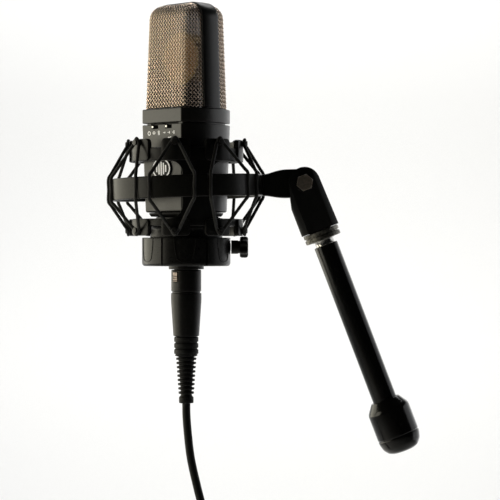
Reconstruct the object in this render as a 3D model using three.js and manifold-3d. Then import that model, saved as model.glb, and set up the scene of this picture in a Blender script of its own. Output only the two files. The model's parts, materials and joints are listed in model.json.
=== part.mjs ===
// Side-address studio microphone held by elastics in a cradle mount, on the end of a boom arm, with its cable.
// Millimetres, +Z up, front towards -Y. The origin is the centre of the flat face at the boom's end.
import * as THREE from "three";
import { mergeVertices } from "three/addons/utils/BufferGeometryUtils.js";
import Module from "manifold-3d";

const wasm = await Module();
wasm.setup();

// Driving dimensions
const GAP = 0.3; // clearance between pieces that touch

// Boom arm and swivel, measured along the boom from the bolt axis
const BOOM_LEAN = 20.9; // degrees from upright
const BOLT_OFFSET = 1.2; // bolt axis beside the boom axis
const BOOM_REACH = 185; // bolt axis to the boom's flat end
const TUBE_RADIUS = 7.85;
const STUD_RADIUS = 7.9;
const CLEVIS_LENGTH = 32.2;
const SLOT_FLOOR = 11.2;
const SLOT_HALF = 5.9;
const TONGUE_HALF = 4.6;
const BOLT_RADIUS = 3;

// Suspension ring and cradle; heights are from the microphone's datum plane
const ARM_REACH = 76.6; // microphone axis to bolt axis
const BOLT_HEIGHT = 43.4;
const RING = { outer: 50, inner: 47, height: 14, centre: 40.3, tilt: 2 };
const CRADLE = { outer: 35.6, inner: 30.4, top: 65.3, low: 56.8, base: 15.3, baseTop: 20.1 };
const TAB = { face: 37, back: 33.6, top: 71, foot: 9.1, halfWidth: 9 };
const NECK = { outer: 23.5, inner: 20.4, foot: 5.4 };
const THUMB_SCREW_HEIGHT = 1.9;
const HOOKS = 8;
const FIRST_HOOK = -54; // degrees, measured from the front towards +X
const HOOK_HEIGHT = { upper: 68.6, lower: 12.6 };
const PEG = { radius: 1.5, lip: 1.9 }; // the elastics loop over these
const ELASTIC_RADIUS = 1.05;
const STRAND_SPREAD = 16.5; // degrees from a hook to each of its two grooves in the ring
const CUP = { outer: 28.7, bore: 22, top: 8, floor: -8.1, bottom: -10.4 };
const KNOB = { radius: 6.2, hub: 4.4, foot: 29.2, base: 34.8 }; // distances from the microphone's axis

// Microphone
const MIC_TURN = -45; // degrees, front of the microphone turned towards -X
const BODY = { flat: 18.5, depth: 21.8, width: 25.8, top: 80.8, bottom: 24.3, taper: 0.075, wall: 2 };
const COLLAR = { bottom: 81.9, top: 91 };
const HEAD = { flat: 18.6, depth: 19.6, width: 25, top: 159.2, dome: 9.5, lean: 0.035, band: 7 };
const CAPSULE = { radius: 17, height: 124, halfDepth: 5 };
const SWITCH_X = 6.4; // each switch sits this far to a side of the panel's middle
const STEM = { radius: 19.7, top: 21.3, bottom: -7.8, bore: 11.7 };
const BADGE = { halfWidth: 8.9, halfHeight: 7.2, height: 52.3, thickness: 0.9 };

// Cable: 5.5 mm lead, 2.7 m long, most of it in a tied coil
const CORD_RADIUS = 2.75;
const COIL = { x: 7, z: -237, radius: 33, half: 11.3 };
const COIL_EDGE = 3; // bevel round the coil's section
const TAIL_LENGTH = 6; // cable that shows between the coil and the far plug

const BLACK = { color: 0x2b2a27, roughness: 0.45, metalness: 0.3 };
const PLASTIC = { color: 0x161616, roughness: 0.55, metalness: 0 };
const STEEL = { color: 0xc8c6c0, roughness: 0.3, metalness: 1 };
const BRASS = { color: 0xb08d57, roughness: 0.35, metalness: 1 };
const MESH = { color: 0xb8a788, roughness: 0.4, metalness: 0.9 };
const RUBBER = { color: 0x101010, roughness: 0.85, metalness: 0 };
const GOLD = { color: 0xd8a54a, roughness: 0.3, metalness: 1 };
const BOARD = { color: 0x1f4a2c, roughness: 0.6, metalness: 0 };

const { degToRad } = THREE.MathUtils;

// Closed-surface helpers

function signedVolume(position, index) {
  const [a, b, c] = [new THREE.Vector3(), new THREE.Vector3(), new THREE.Vector3()];
  let volume = 0;
  for (let i = 0; i < index.length; i += 3) {
    [a, b, c].forEach((corner, k) => corner.fromBufferAttribute(position, index[i + k]));
    volume += a.dot(b.cross(c)) / 6;
  }
  return volume;
}

// Welds a geometry to bare shared vertices, drops collapsed triangles and turns its faces outward.
function welded(geometry) {
  const bare = geometry.clone();
  bare.deleteAttribute("normal");
  bare.deleteAttribute("uv");
  const merged = mergeVertices(bare, 1e-4);
  const index = [];
  for (let i = 0; i < merged.index.count; i += 3) {
    const [a, b, c] = [0, 1, 2].map((k) => merged.index.getX(i + k));
    if (a !== b && b !== c && c !== a) index.push(a, b, c);
  }
  if (signedVolume(merged.getAttribute("position"), index) < 0) index.reverse();
  return merged.setIndex(index);
}

function toSolid(geometry) {
  const shape = welded(geometry);
  const vertProperties = new Float32Array(shape.getAttribute("position").array);
  const triVerts = new Uint32Array(shape.index.array);
  return new wasm.Manifold(new wasm.Mesh({ numProp: 3, vertProperties, triVerts }));
}

function toGeometry(solid) {
  const { vertProperties, triVerts } = solid.getMesh();
  const geometry = new THREE.BufferGeometry();
  geometry.setAttribute("position", new THREE.BufferAttribute(vertProperties, 3));
  return geometry.setIndex(new THREE.BufferAttribute(triVerts, 1));
}

const cut = (base, ...tools) =>
  toGeometry(tools.reduce((solid, tool) => solid.subtract(toSolid(tool)), toSolid(base)));
const join = (base, ...others) =>
  toGeometry(others.reduce((solid, other) => solid.add(toSolid(other)), toSolid(base)));
const common = (base, ...others) =>
  toGeometry(others.reduce((solid, other) => solid.intersect(toSolid(other)), toSolid(base)));

// A turned solid about Z from [radius, height] points; the profile starts and ends on the axis.
function turned(points, segments = 18) {
  const profile = points.map(([radius, height]) => new THREE.Vector2(radius, height));
  return new THREE.LatheGeometry(profile, segments).rotateX(Math.PI / 2);
}

// A turned solid with an open middle; the profile closes on itself.
const turnedRing = (points, segments = 18) => turned([...points, points[0]], segments);

const sleeve = (inner, outer, low, high, segments = 18) =>
  turnedRing([[inner, low], [outer, low], [outer, high], [inner, high]], segments);

const rod = (radius, low, high, segments = 18) =>
  turned([[0, low], [radius, low], [radius, high], [0, high]], segments);

function block(x0, x1, y0, y1, z0, z1) {
  const box = new THREE.BoxGeometry(x1 - x0, y1 - y0, z1 - z0);
  return box.translate((x0 + x1) / 2, (y0 + y1) / 2, (z0 + z1) / 2);
}

// A flat outline in X and Z, given thickness from y0 to y1.
function plate(shape, y0, y1, curveSegments = 8) {
  const settings = { depth: y1 - y0, bevelEnabled: false, curveSegments };
  return new THREE.ExtrudeGeometry(shape, settings).rotateX(Math.PI / 2).translate(0, y1, 0);
}

// A solid through stacked outlines of equal point count, [height, outline] each.
function loft(levels) {
  const count = levels[0][1].length;
  const points = levels.flatMap(([z, outline]) => outline.flatMap(([x, y]) => [x, y, z]));
  const faces = [];
  const last = (levels.length - 1) * count;
  for (let level = 0; level < last; level += count) {
    for (let i = 0; i < count; i += 1) {
      const a = level + i;
      const b = level + ((i + 1) % count);
      faces.push(a, b, b + count, a, b + count, a + count);
    }
  }
  for (let i = 1; i < count - 1; i += 1) faces.push(0, i + 1, i, last, last + i, last + i + 1);
  const geometry = new THREE.BufferGeometry();
  geometry.setAttribute("position", new THREE.Float32BufferAttribute(points, 3));
  return geometry.setIndex(faces);
}

// A closed loop of round cord along a closed curve.
function cordLoop(curve, radius, steps, sides) {
  const frames = curve.computeFrenetFrames(steps, true);
  const points = [];
  const faces = [];
  for (let i = 0; i < steps; i += 1) {
    const centre = curve.getPointAt(i / steps);
    for (let k = 0; k < sides; k += 1) {
      const angle = (2 * Math.PI * k) / sides;
      const point = centre.clone()
        .addScaledVector(frames.normals[i], radius * Math.cos(angle))
        .addScaledVector(frames.binormals[i], radius * Math.sin(angle));
      points.push(...point);
      const [a, b] = [i * sides + k, i * sides + ((k + 1) % sides)];
      const next = (v) => (v + sides) % (steps * sides);
      faces.push(a, b, next(b), a, next(b), next(a));
    }
  }
  const geometry = new THREE.BufferGeometry();
  geometry.setAttribute("position", new THREE.Float32BufferAttribute(points, 3));
  return geometry.setIndex(faces);
}

// Scene helpers

const part = new THREE.Group();
const rig = new THREE.Group();
const microphone = new THREE.Group();
const boom = new THREE.Group();
const lean = degToRad(BOOM_LEAN);

function add(parent, name, geometry, finish) {
  const mesh = new THREE.Mesh(welded(geometry), new THREE.MeshStandardMaterial(finish));
  mesh.name = name;
  parent.add(mesh);
  return mesh;
}

// Point on a circle round the microphone's axis: 0 degrees is the front, -Y, and 90 is +X.
function around(radius, degrees, z) {
  const angle = degToRad(degrees);
  return new THREE.Vector3(radius * Math.sin(angle), -radius * Math.cos(angle), z);
}

// Microphone casing outline: flat front and back, crowned sides.
function plan({ flat, depth, width }, inset = 0, scale = 1, steps = 6) {
  const [a, h, w] = [flat * scale, depth * scale, width * scale];
  const bulge = w - a;
  const radius = (h * h + bulge * bulge) / (2 * bulge);
  const centre = w - radius;
  const half = Math.asin((h - inset) / (radius - inset));
  const side = [];
  for (let i = 0; i <= steps; i += 1) {
    const turn = half * ((2 * i) / steps - 1);
    side.push([centre + (radius - inset) * Math.cos(turn), (radius - inset) * Math.sin(turn)]);
  }
  return [...side, ...side.map(([x, y]) => [-x, -y])];
}

const bodyScale = (z) => 1 - (BODY.taper * (BODY.top - z)) / (BODY.top - BODY.bottom);

// The head's rounded volume, made smaller all round by inset.
function headVolume(inset, foot, steps = 4) {
  const shoulder = HEAD.top - HEAD.dome;
  const leanAt = (z) => HEAD.lean * (z - COLLAR.top);
  const levels = [[foot, plan(HEAD, inset + leanAt(foot))]];
  for (let i = 0; i <= steps; i += 1) {
    const angle = (i / steps) * (Math.PI / 2);
    const z = shoulder + (HEAD.dome - inset) * Math.sin(angle);
    const edge = HEAD.dome - (HEAD.dome - inset) * Math.cos(angle);
    levels.push([z, plan(HEAD, edge + leanAt(z))]);
  }
  return loft(levels);
}

const WIDE = 60; // larger than any section of the object

function buildHead() {
  const foot = COLLAR.top + GAP;
  const band = HEAD.band;
  const frame = common(
    cut(headVolume(-0.6, foot), headVolume(2.4, foot - 5)),
    block(-WIDE, WIDE, -band, band, foot, 2 * HEAD.top),
  );
  add(microphone, "head_frame", frame, BLACK);
  const screen = cut(headVolume(0.2, foot), headVolume(1.2, foot - 5));
  const front = block(-WIDE, WIDE, -WIDE, -band - GAP, foot, 2 * HEAD.top);
  const rear = block(-WIDE, WIDE, band + GAP, WIDE, foot, 2 * HEAD.top);
  add(microphone, "grille_front", common(screen, front), MESH);
  add(microphone, "grille_rear", common(screen, rear), MESH);
}

function buildCapsule() {
  const { radius, height, halfDepth } = CAPSULE;
  const facing = (geometry) => geometry.rotateX(Math.PI / 2).translate(0, 0, height);
  const ring = sleeve(radius - 2.5, radius, -halfDepth, halfDepth, 24);
  add(microphone, "capsule_ring", facing(ring), BRASS);
  add(microphone, "capsule_backplate", facing(rod(radius - 2.8, -3.4, 3.4, 24)), BRASS);
  add(microphone, "diaphragm_front", facing(rod(radius - 2.8, 3.8, 4.2, 24)), GOLD);
  add(microphone, "diaphragm_rear", facing(rod(radius - 2.8, -4.2, -3.8, 24)), GOLD);
  const saddle = block(-8, 8, -4.5, 4.5, COLLAR.top + GAP, height - radius + 5);
  const seat = facing(rod(radius + GAP, -9, 9, 24));
  add(microphone, "capsule_saddle", cut(saddle, seat), PLASTIC);
}

function buildCollar() {
  const upper = loft([
    [COLLAR.bottom, plan(BODY, 0.5)],
    [COLLAR.bottom + 0.5, plan(BODY)],
    [COLLAR.top - 0.8, plan(BODY)],
    [COLLAR.top, plan(BODY, 0.8)],
  ]);
  const spigot = loft([[76, plan(BODY, 2.8)], [COLLAR.bottom + 1, plan(BODY, 2.8)]]);
  const pocket = loft([[70, plan(BODY, 4.6)], [COLLAR.top - 4, plan(BODY, 4.6)]]);
  const switchRoom = block(-13, 13, -WIDE, -12, 70, COLLAR.bottom - 0.1);
  const wireHole = rod(6, COLLAR.top - 10, COLLAR.top + 5, 16);
  add(microphone, "head_collar", cut(join(upper, spigot), pocket, switchRoom, wireHole), BLACK);
}

const switchSides = [["pattern", -SWITCH_X], ["pad", SWITCH_X]];

function buildBody() {
  const { top, bottom, wall } = BODY;
  const outer = loft([
    [bottom, plan(BODY, 1.2, bodyScale(bottom))],
    [bottom + 0.5, plan(BODY, 0.4, bodyScale(bottom))],
    [bottom + 1.5, plan(BODY, 0, bodyScale(bottom + 1.5))],
    [top - 0.5, plan(BODY, 0, bodyScale(top))],
    [top, plan(BODY, 0.5)],
  ]);
  const hollow = loft([
    [bottom - 2, plan(BODY, wall, bodyScale(bottom - 2))],
    [top + 2, plan(BODY, wall, bodyScale(top + 2))],
  ]);
  const notches = switchSides.map(([, x]) => block(x - 3.2, x + 3.2, -WIDE, -15, top - 2.9, top + 3));
  add(microphone, "body_shell", cut(outer, hollow, ...notches), BLACK);
  const plateOuter = loft([
    [bottom - 2.7, plan(BODY, 3.4, bodyScale(bottom))],
    [bottom - 1.2, plan(BODY, 2, bodyScale(bottom))],
    [bottom - GAP, plan(BODY, 2, bodyScale(bottom))],
  ]);
  add(microphone, "bottom_plate", cut(plateOuter, rod(9, 15, 30)), PLASTIC);
  add(microphone, "base_stem", sleeve(STEM.bore, STEM.radius, STEM.bottom, STEM.top, 28), BLACK);
}

function buildSwitches() {
  const back = -BODY.depth + BODY.wall + 0.4;
  const z = BODY.top - 1.5;
  for (const [use, x] of switchSides) {
    const housing = block(x - 5.2, x + 5.2, back, back + 5, z - 3.6, z + 2);
    const slot = block(x - 3.4, x + 3.4, back - 1, back + 3, z - 1.1, z + 1.1);
    add(microphone, `${use}_switch_housing`, cut(housing, slot), PLASTIC);
    const lever = block(x - 2.6, x - 0.8, -BODY.depth - 0.5, back + 2.4, z - 0.8, z + 0.8);
    add(microphone, `${use}_switch_lever`, lever, STEEL);
  }
}

function buildElectronics() {
  add(microphone, "circuit_board", block(-16, 16, 3, 4.6, 28, 72), BOARD);
  add(microphone, "output_transformer", block(-9, 9, -12, 2.6, 32, 48), STEEL);
}

function buildBadge() {
  const outline = new THREE.Shape().absellipse(0, 0, BADGE.halfWidth, BADGE.halfHeight, 0, 2 * Math.PI);
  const face = plate(outline, -BADGE.thickness, 0, 14);
  const slope = (BODY.depth * BODY.taper) / (BODY.top - BODY.bottom);
  const badge = add(microphone, "badge", face, STEEL);
  badge.rotation.x = Math.atan(slope);
  badge.position.set(0, -BODY.depth * bodyScale(BADGE.height) - GAP, BADGE.height);
}

function buildConnector() {
  const { bore } = STEM;
  const shell = [[0, 6], [bore - GAP, 6], [bore - GAP, -12.5], [8.3, -12.5], [8.3, 3], [0, 3]];
  add(microphone, "connector_shell", turned(shell), BLACK);
  const pins = contactPlaces().map(([x, y]) => rod(1.2, -10.4, 0, 10).translate(x, y, 0));
  add(microphone, "connector_insert", join(rod(8, -0.3, 2.7), ...pins), GOLD);
}

const contactPlaces = () => [-60, 60, 180].map((angle) => {
  const { x, y } = around(3.6, angle, 0);
  return [x, y];
});

function buildPlug() {
  const shell = turnedRing([
    [6.9, -1.2], [7.9, -1.2], [7.9, -12.8], [9.3, -12.8], [9.75, -13.3], [9.75, -26.8], [9.1, -27],
    [9.1, -27.8], [9.9, -28], [9.9, -33], [8.4, -55.6], [8, -56], [6.9, -56],
  ]);
  const window = block(-2.5, 2.5, -12, -5, -20.9, -13.9);
  add(microphone, "plug_shell", cut(shell, window), BLACK);
  add(microphone, "plug_latch", block(-2.1, 2.1, -10.1, -8.3, -20.5, -14.3), STEEL);
  const holes = contactPlaces().map(([x, y]) => rod(1.5, -11.4, 0, 10).translate(x, y, 0));
  add(microphone, "plug_insert", cut(rod(6.6, -24, -1.5), ...holes), PLASTIC);
  add(microphone, "plug_boot", turned(bootProfile(-56.3, -99.4)), RUBBER);
}

// Strain relief: a collar, a waist, a wide ring and a long taper to the cable.
function bootProfile(start, end) {
  const step = Math.sign(end - start);
  return [
    [0, start], [7.9, start], [7.9, start + step * 11.6], [6.6, start + step * 12.6],
    [5, end - step * 3], [4.75, end], [0, end],
  ];
}

// Cradle: two frames with hook tabs, joined by a wide rib on either side, and a neck for the clamp cup.

const hookAngles = Array.from({ length: HOOKS }, (_, i) => FIRST_HOOK + (i * 360) / HOOKS);
const RIB_ANGLE = FIRST_HOOK + 67.5;

function ribOutline() {
  const [half, fillet] = [9.3, 8];
  const [low, high] = [CRADLE.baseTop, CRADLE.low];
  const shape = new THREE.Shape();
  shape.moveTo(-half - fillet, low - 2);
  shape.lineTo(half + fillet, low - 2);
  shape.lineTo(half + fillet, low);
  shape.absarc(half + fillet, low + fillet, fillet, -Math.PI / 2, -Math.PI, true);
  shape.lineTo(half, high - fillet);
  shape.absarc(half + fillet, high - fillet, fillet, Math.PI, Math.PI / 2, true);
  shape.lineTo(half + fillet, high + 2);
  shape.lineTo(-half - fillet, high + 2);
  shape.lineTo(-half - fillet, high);
  shape.absarc(-half - fillet, high - fillet, fillet, Math.PI / 2, 0, true);
  shape.lineTo(-half, low + fillet);
  shape.absarc(-half - fillet, low + fillet, fillet, 0, -Math.PI / 2, true);
  return shape;
}

function hookTab(angle, low, high, hook) {
  const tab = block(-TAB.halfWidth, TAB.halfWidth, -TAB.face, -TAB.back, low, high);
  const peg = rod(PEG.radius, TAB.face - 1, TAB.face + 2.5, 6);
  const lip = rod(PEG.lip, TAB.face + 2.5, TAB.face + 3.2, 6);
  const out = (geometry) => geometry.rotateX(Math.PI / 2).translate(0, 0, hook);
  return join(tab, out(peg), out(lip)).rotateZ(degToRad(angle));
}

function buildCradle() {
  const { outer, inner, top, low, base, baseTop } = CRADLE;
  const upper = sleeve(inner, outer, low, top, 32);
  const lower = sleeve(NECK.inner, outer, base, baseTop, 32);
  const neck = sleeve(NECK.inner, NECK.outer, NECK.foot, base + 1, 32);
  const wall = sleeve(31.2, outer, base, top, 32);
  const ribs = common(wall, plate(ribOutline(), -WIDE, WIDE, 4).rotateZ(degToRad(RIB_ANGLE)));
  const tabs = hookAngles.flatMap((angle) => [
    hookTab(angle, low, TAB.top, HOOK_HEIGHT.upper),
    hookTab(angle, TAB.foot, baseTop, HOOK_HEIGHT.lower),
  ]);
  add(rig, "cradle", join(upper, lower, neck, ribs, ...tabs), BLACK);
}

function buildClamp() {
  const { outer, bore, top, floor, bottom } = CUP;
  const cup = turnedRing([
    [12, bottom], [outer - 2, bottom], [outer, bottom + 2], [outer, top], [NECK.outer + GAP, top], [NECK.outer + GAP, NECK.foot - GAP],
    [bore, NECK.foot - GAP], [bore, floor], [12, floor],
  ], 28);
  const sideways = (geometry) => geometry.rotateY(Math.PI / 2).translate(0, 0, THUMB_SCREW_HEIGHT);
  const screwHole = sideways(rod(2.8, bore - 4, outer + 4, 12));
  add(rig, "clamp_cup", cut(cup, screwHole), PLASTIC);
  const liner = sleeve(STEM.radius + GAP, bore - GAP, floor + GAP, NECK.foot - 2 * GAP, 28);
  add(rig, "clamp_liner", cut(liner, block(-WIDE, 0, -2, 2, -20, 20)), RUBBER);
  add(rig, "thumb_screw_shaft", sideways(rod(2.5, bore, KNOB.foot - GAP, 12)), STEEL);
  add(rig, "thumb_screw_knob", sideways(knob()), PLASTIC);
}

// Lobed hand knob, turned about Z.
function knob() {
  const shape = new THREE.Shape();
  const [lobes, mean, wave] = [6, KNOB.radius, 0.7];
  for (let i = 0; i < 36; i += 1) {
    const angle = (i / 36) * 2 * Math.PI;
    const radius = mean + wave * Math.cos(lobes * angle);
    const [x, y] = [radius * Math.cos(angle), radius * Math.sin(angle)];
    if (i) shape.lineTo(x, y);
    else shape.moveTo(x, y);
  }
  const head = new THREE.ExtrudeGeometry(shape, { depth: 5.4, bevelEnabled: false }).translate(0, 0, KNOB.base);
  return join(head, rod(KNOB.hub, KNOB.foot, KNOB.base + 1, 12));
}

// Suspension ring with its arm, and the elastics

const ringTilt = new THREE.Group();

function strandAngles() {
  return hookAngles.flatMap((angle) => [angle - STRAND_SPREAD, angle + STRAND_SPREAD]);
}

// The arm is a flat blade that grows taller towards the bolt and ends round it.
function armOutline(bolt) {
  const { inner, height } = RING;
  const [root, flare, end] = [53, 61, 9.25];
  const shape = new THREE.Shape();
  shape.moveTo(inner + 1, -height / 2);
  shape.lineTo(root, -height / 2);
  shape.lineTo(flare, bolt.z - end);
  shape.lineTo(bolt.x, bolt.z - end);
  shape.absarc(bolt.x, bolt.z, end, -Math.PI / 2, Math.PI / 2, false);
  shape.lineTo(flare, bolt.z + end);
  shape.lineTo(root, height / 2);
  shape.lineTo(inner + 1, height / 2);
  return shape;
}

function buildRing() {
  const { outer, inner, height, centre, tilt } = RING;
  const turn = degToRad(tilt);
  const bolt = new THREE.Vector3(ARM_REACH, 0, BOLT_HEIGHT - centre)
    .applyAxisAngle(new THREE.Vector3(0, 1, 0), turn);
  const band = sleeve(inner, outer, -height / 2, height / 2, 48);
  const bore = rod(BOLT_RADIUS + GAP, -20, 20, 12).rotateX(Math.PI / 2).translate(bolt.x, 0, bolt.z);
  const grooves = strandAngles().map((angle) => {
    const { x, y } = around(outer + 0.4, angle, 0);
    return rod(1.5, -height, height, 6).translate(x, y, 0);
  });
  const arm = cut(plate(armOutline(bolt), -TONGUE_HALF, TONGUE_HALF), rod(inner, -20, 20, 48));
  add(ringTilt, "outer_ring", cut(join(band, arm), bore, ...grooves), BLACK);
  ringTilt.position.z = centre;
  ringTilt.rotation.y = -turn;
  rig.add(ringTilt);
}

// Height of the ring's middle at a point of its rim, with the ring's tilt.
const ringHeight = (x) => RING.centre + x * Math.tan(degToRad(RING.tilt));

function elasticPath(angle) {
  const points = [];
  const rimRadius = RING.outer + 0.4;
  const hookRadius = TAB.face + 1.4;
  const bend = PEG.radius + 1.1 + ELASTIC_RADIUS;
  const rim = (side, dz) => {
    const place = around(rimRadius, angle + side * STRAND_SPREAD, 0);
    place.z = ringHeight(place.x) + dz;
    return place;
  };
  const hook = (side, z, dz) => {
    const place = around(hookRadius, angle, z + dz);
    return place.addScaledVector(around(1, angle + 90, 0), side * bend);
  };
  points.push(hook(-1, HOOK_HEIGHT.upper, -0.6), hook(0, HOOK_HEIGHT.upper, bend));
  points.push(hook(1, HOOK_HEIGHT.upper, -0.6), rim(1, 8), rim(1, 0), rim(1, -8));
  points.push(hook(1, HOOK_HEIGHT.lower, 0.6), hook(0, HOOK_HEIGHT.lower, -bend));
  points.push(hook(-1, HOOK_HEIGHT.lower, 0.6), rim(-1, -8), rim(-1, 0), rim(-1, 8));
  return new THREE.CatmullRomCurve3(points, true, "centripetal");
}

function buildElastics() {
  hookAngles.forEach((angle, i) => {
    add(rig, `elastic_${i + 1}`, cordLoop(elasticPath(angle), ELASTIC_RADIUS, 32, 5), RUBBER);
  });
}

// Swivel and boom; the boom's frame has the bolt's height at zero and runs down along -Z

const along = (s) => -s;

function buildClevis() {
  const top = 10.2;
  const outline = new THREE.Shape();
  outline.moveTo(-12.5, along(CLEVIS_LENGTH));
  outline.lineTo(12.5, along(CLEVIS_LENGTH));
  outline.lineTo(BOLT_OFFSET + top, 1);
  outline.absarc(BOLT_OFFSET, 0, top, 0.1, Math.PI - 0.25, false);
  outline.lineTo(-12.5, along(13));
  const cheeks = plate(outline, -11.5, 11.5, 8);
  const round = rod(14.2, along(CLEVIS_LENGTH), 15, 28);
  const slot = block(-WIDE, WIDE, -SLOT_HALF, SLOT_HALF, along(SLOT_FLOOR), WIDE);
  const boltHole = rod(BOLT_RADIUS + GAP, -30, 30, 12).rotateX(Math.PI / 2).translate(BOLT_OFFSET, 0, 0);
  const bore = rod(9.4, along(40), along(SLOT_FLOOR + 3));
  add(boom, "clevis", cut(common(cheeks, round), slot, boltHole, bore), BLACK);
  add(boom, "thread_insert", sleeve(8.2, 9.1, along(CLEVIS_LENGTH), along(15.5)), BRASS);
}

function buildBolt() {
  const across = (geometry) => geometry.rotateX(Math.PI / 2).translate(BOLT_OFFSET, 0, 0);
  const hex = (low, high) => rod(5.6, low, high, 6);
  const head = hex(12.5, 16);
  add(boom, "swivel_bolt", across(join(head, rod(BOLT_RADIUS, -16.5, 13, 12))), BRASS);
  const nut = cut(hex(-16, -12.5), rod(BOLT_RADIUS + GAP, -30, 30, 12));
  add(boom, "swivel_nut", across(nut), BRASS);
  for (const [side, sign] of [["front", 1], ["rear", -1]]) {
    const friction = sleeve(BOLT_RADIUS + GAP, 8.6, -0.35, 0.35).translate(0, 0, sign * 5.25);
    add(boom, `friction_washer_${side}`, across(friction), PLASTIC);
    const washer = sleeve(BOLT_RADIUS + GAP, 6.4, -0.2, 0.2).translate(0, 0, sign * 12.05);
    add(boom, `bolt_washer_${side}`, across(washer), STEEL);
  }
}

function buildBoom() {
  const lockRing = turnedRing([
    [8.2, -33.5], [10.9, -33.5], [11.85, -34], [11.85, -35.6], [11, -35.9], [11, -36.3],
    [11.85, -36.6], [11.85, -38.2], [10.9, -38.7], [8.2, -38.7],
  ], 20);
  add(boom, "lock_ring", lockRing, STEEL);
  const stud = [
    [0, -16], [7, -16], [STUD_RADIUS, -17], [STUD_RADIUS, -39], [6.35, -39.2], [6.35, -42], [6.7, -42.2],
    [6.7, -58], [0, -58],
  ];
  add(boom, "boom_stud", turned(stud), STEEL);
  add(boom, "boom_tube", sleeve(7, TUBE_RADIUS, along(164.6), along(42.3), 20), BLACK);
  const end = along(BOOM_REACH);
  const ferrule = [
    [0, -165], [TUBE_RADIUS + GAP, -165], [TUBE_RADIUS + GAP, -150], [9.6, -150], [13.2, -155.4],
    [13.8, -157], [13.8, end + 9], [12.6, end + 4.2], [10.2, end + 1.2], [7.5, end], [0, end],
  ];
  add(boom, "boom_fitting", turned(ferrule, 24), BLACK);
}

// Cable

// The hanging stretch, from the strain relief to the top of the coil.
const CORD_ROUTE = [
  [0, 0, -99.7], [0.1, 0, -107], [0.7, 0, -115.6], [1.6, 0, -125], [2.8, 0, -134.4], [4.4, 0, -142.5],
  [6.3, 0, -150.6], [8.5, -0.3, -159.5], [10.8, -1.2, -167.5], [13.8, -2.8, -175], [18.2, -5.2, -182.4],
  [23.2, -7.4, -189.2], [28.1, -8.5, -195.2],
];

function buildCord() {
  const curve = new THREE.CatmullRomCurve3(CORD_ROUTE.map((point) => new THREE.Vector3(...point)));
  const section = new THREE.Shape();
  for (let i = 0; i < 8; i += 1) {
    const angle = (i / 8) * 2 * Math.PI;
    const [x, y] = [CORD_RADIUS * Math.cos(angle), CORD_RADIUS * Math.sin(angle)];
    if (i) section.lineTo(x, y);
    else section.moveTo(x, y);
  }
  const tube = new THREE.ExtrudeGeometry(section, { steps: 14, extrudePath: curve });
  add(rig, "cord_run", tube, RUBBER);
}

function buildCoil() {
  const { x, z, radius, half } = COIL;
  const edge = COIL_EDGE;
  const [inner, outer] = [radius - half, radius + half];
  const upright = (geometry) => geometry.rotateX(Math.PI / 2).translate(x, 0, z);
  const ring = turnedRing([
    [inner, -half + edge], [inner + edge, -half], [outer - edge, -half], [outer, -half + edge],
    [outer, half - edge], [outer - edge, half], [inner + edge, half], [inner, half - edge],
  ], 28);
  add(rig, "cord_coil", upright(ring), RUBBER);
  const room = half + GAP;
  const strap = cut(
    block(radius - room - 1.4, radius + room + 1.4, -7, 7, -room - 1.4, room + 1.4),
    turnedRing([
      [inner - GAP, -half + edge], [inner + edge, -room], [outer - edge, -room], [outer + GAP, -half + edge],
      [outer + GAP, half - edge], [outer - edge, room], [inner + edge, room], [inner - GAP, half - edge],
    ], 28),
  );
  add(rig, "coil_tie", upright(strap.rotateZ(degToRad(100))), PLASTIC);
}

// The cable's other end hangs beside the coil: a short tail, then strain relief, shell and contacts, pointing down.
function buildFarPlug() {
  const x = COIL.x + COIL.radius + COIL.half - CORD_RADIUS;
  const y = COIL.half - CORD_RADIUS;
  const top = COIL.z - 28;
  const place = (geometry) => geometry.translate(x, y, top);
  add(rig, "cord_tail", place(rod(CORD_RADIUS, GAP, TAIL_LENGTH, 10)), RUBBER);
  add(rig, "far_plug_boot", place(turned(bootProfile(-43.1, 0))), RUBBER);
  const shell = turned([
    [0, -44], [8, -44], [8.6, -45], [9.6, -62], [9.6, -84], [8.4, -84], [8.4, -70], [0, -70],
  ]);
  add(rig, "far_plug_shell", place(shell), BLACK);
  const pins = contactPlaces().map(([px, py]) => rod(1.2, -82, -72, 10).translate(px, py, 0));
  add(rig, "far_plug_contacts", place(join(rod(8.1, -74, -70.3), ...pins)), GOLD);
}

buildHead();
buildCapsule();
buildCollar();
buildBody();
buildSwitches();
buildElectronics();
buildBadge();
buildConnector();
buildPlug();
buildCradle();
buildClamp();
buildRing();
buildElastics();
buildClevis();
buildBolt();
buildBoom();
buildCord();
buildCoil();
buildFarPlug();

microphone.rotation.z = degToRad(MIC_TURN);
// The bolt lies beside the boom's axis, so the boom's frame starts from the bolt, moved back by that offset.
boom.rotation.y = -lean;
boom.position.set(
  ARM_REACH - BOLT_OFFSET * Math.cos(lean), 0, BOLT_HEIGHT - BOLT_OFFSET * Math.sin(lean),
);
rig.add(microphone, boom);
rig.position.set(
  -boom.position.x - BOOM_REACH * Math.sin(lean), 0, BOOM_REACH * Math.cos(lean) - boom.position.z,
);
part.add(rig);

export default part;
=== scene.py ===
"""Studio microphone in an elastic cradle mount on a swivel and boom, with its lead: the visual model."""
import json
import math

import bmesh
import bpy
import numpy as np
from mathutils import Matrix, Vector


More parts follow.
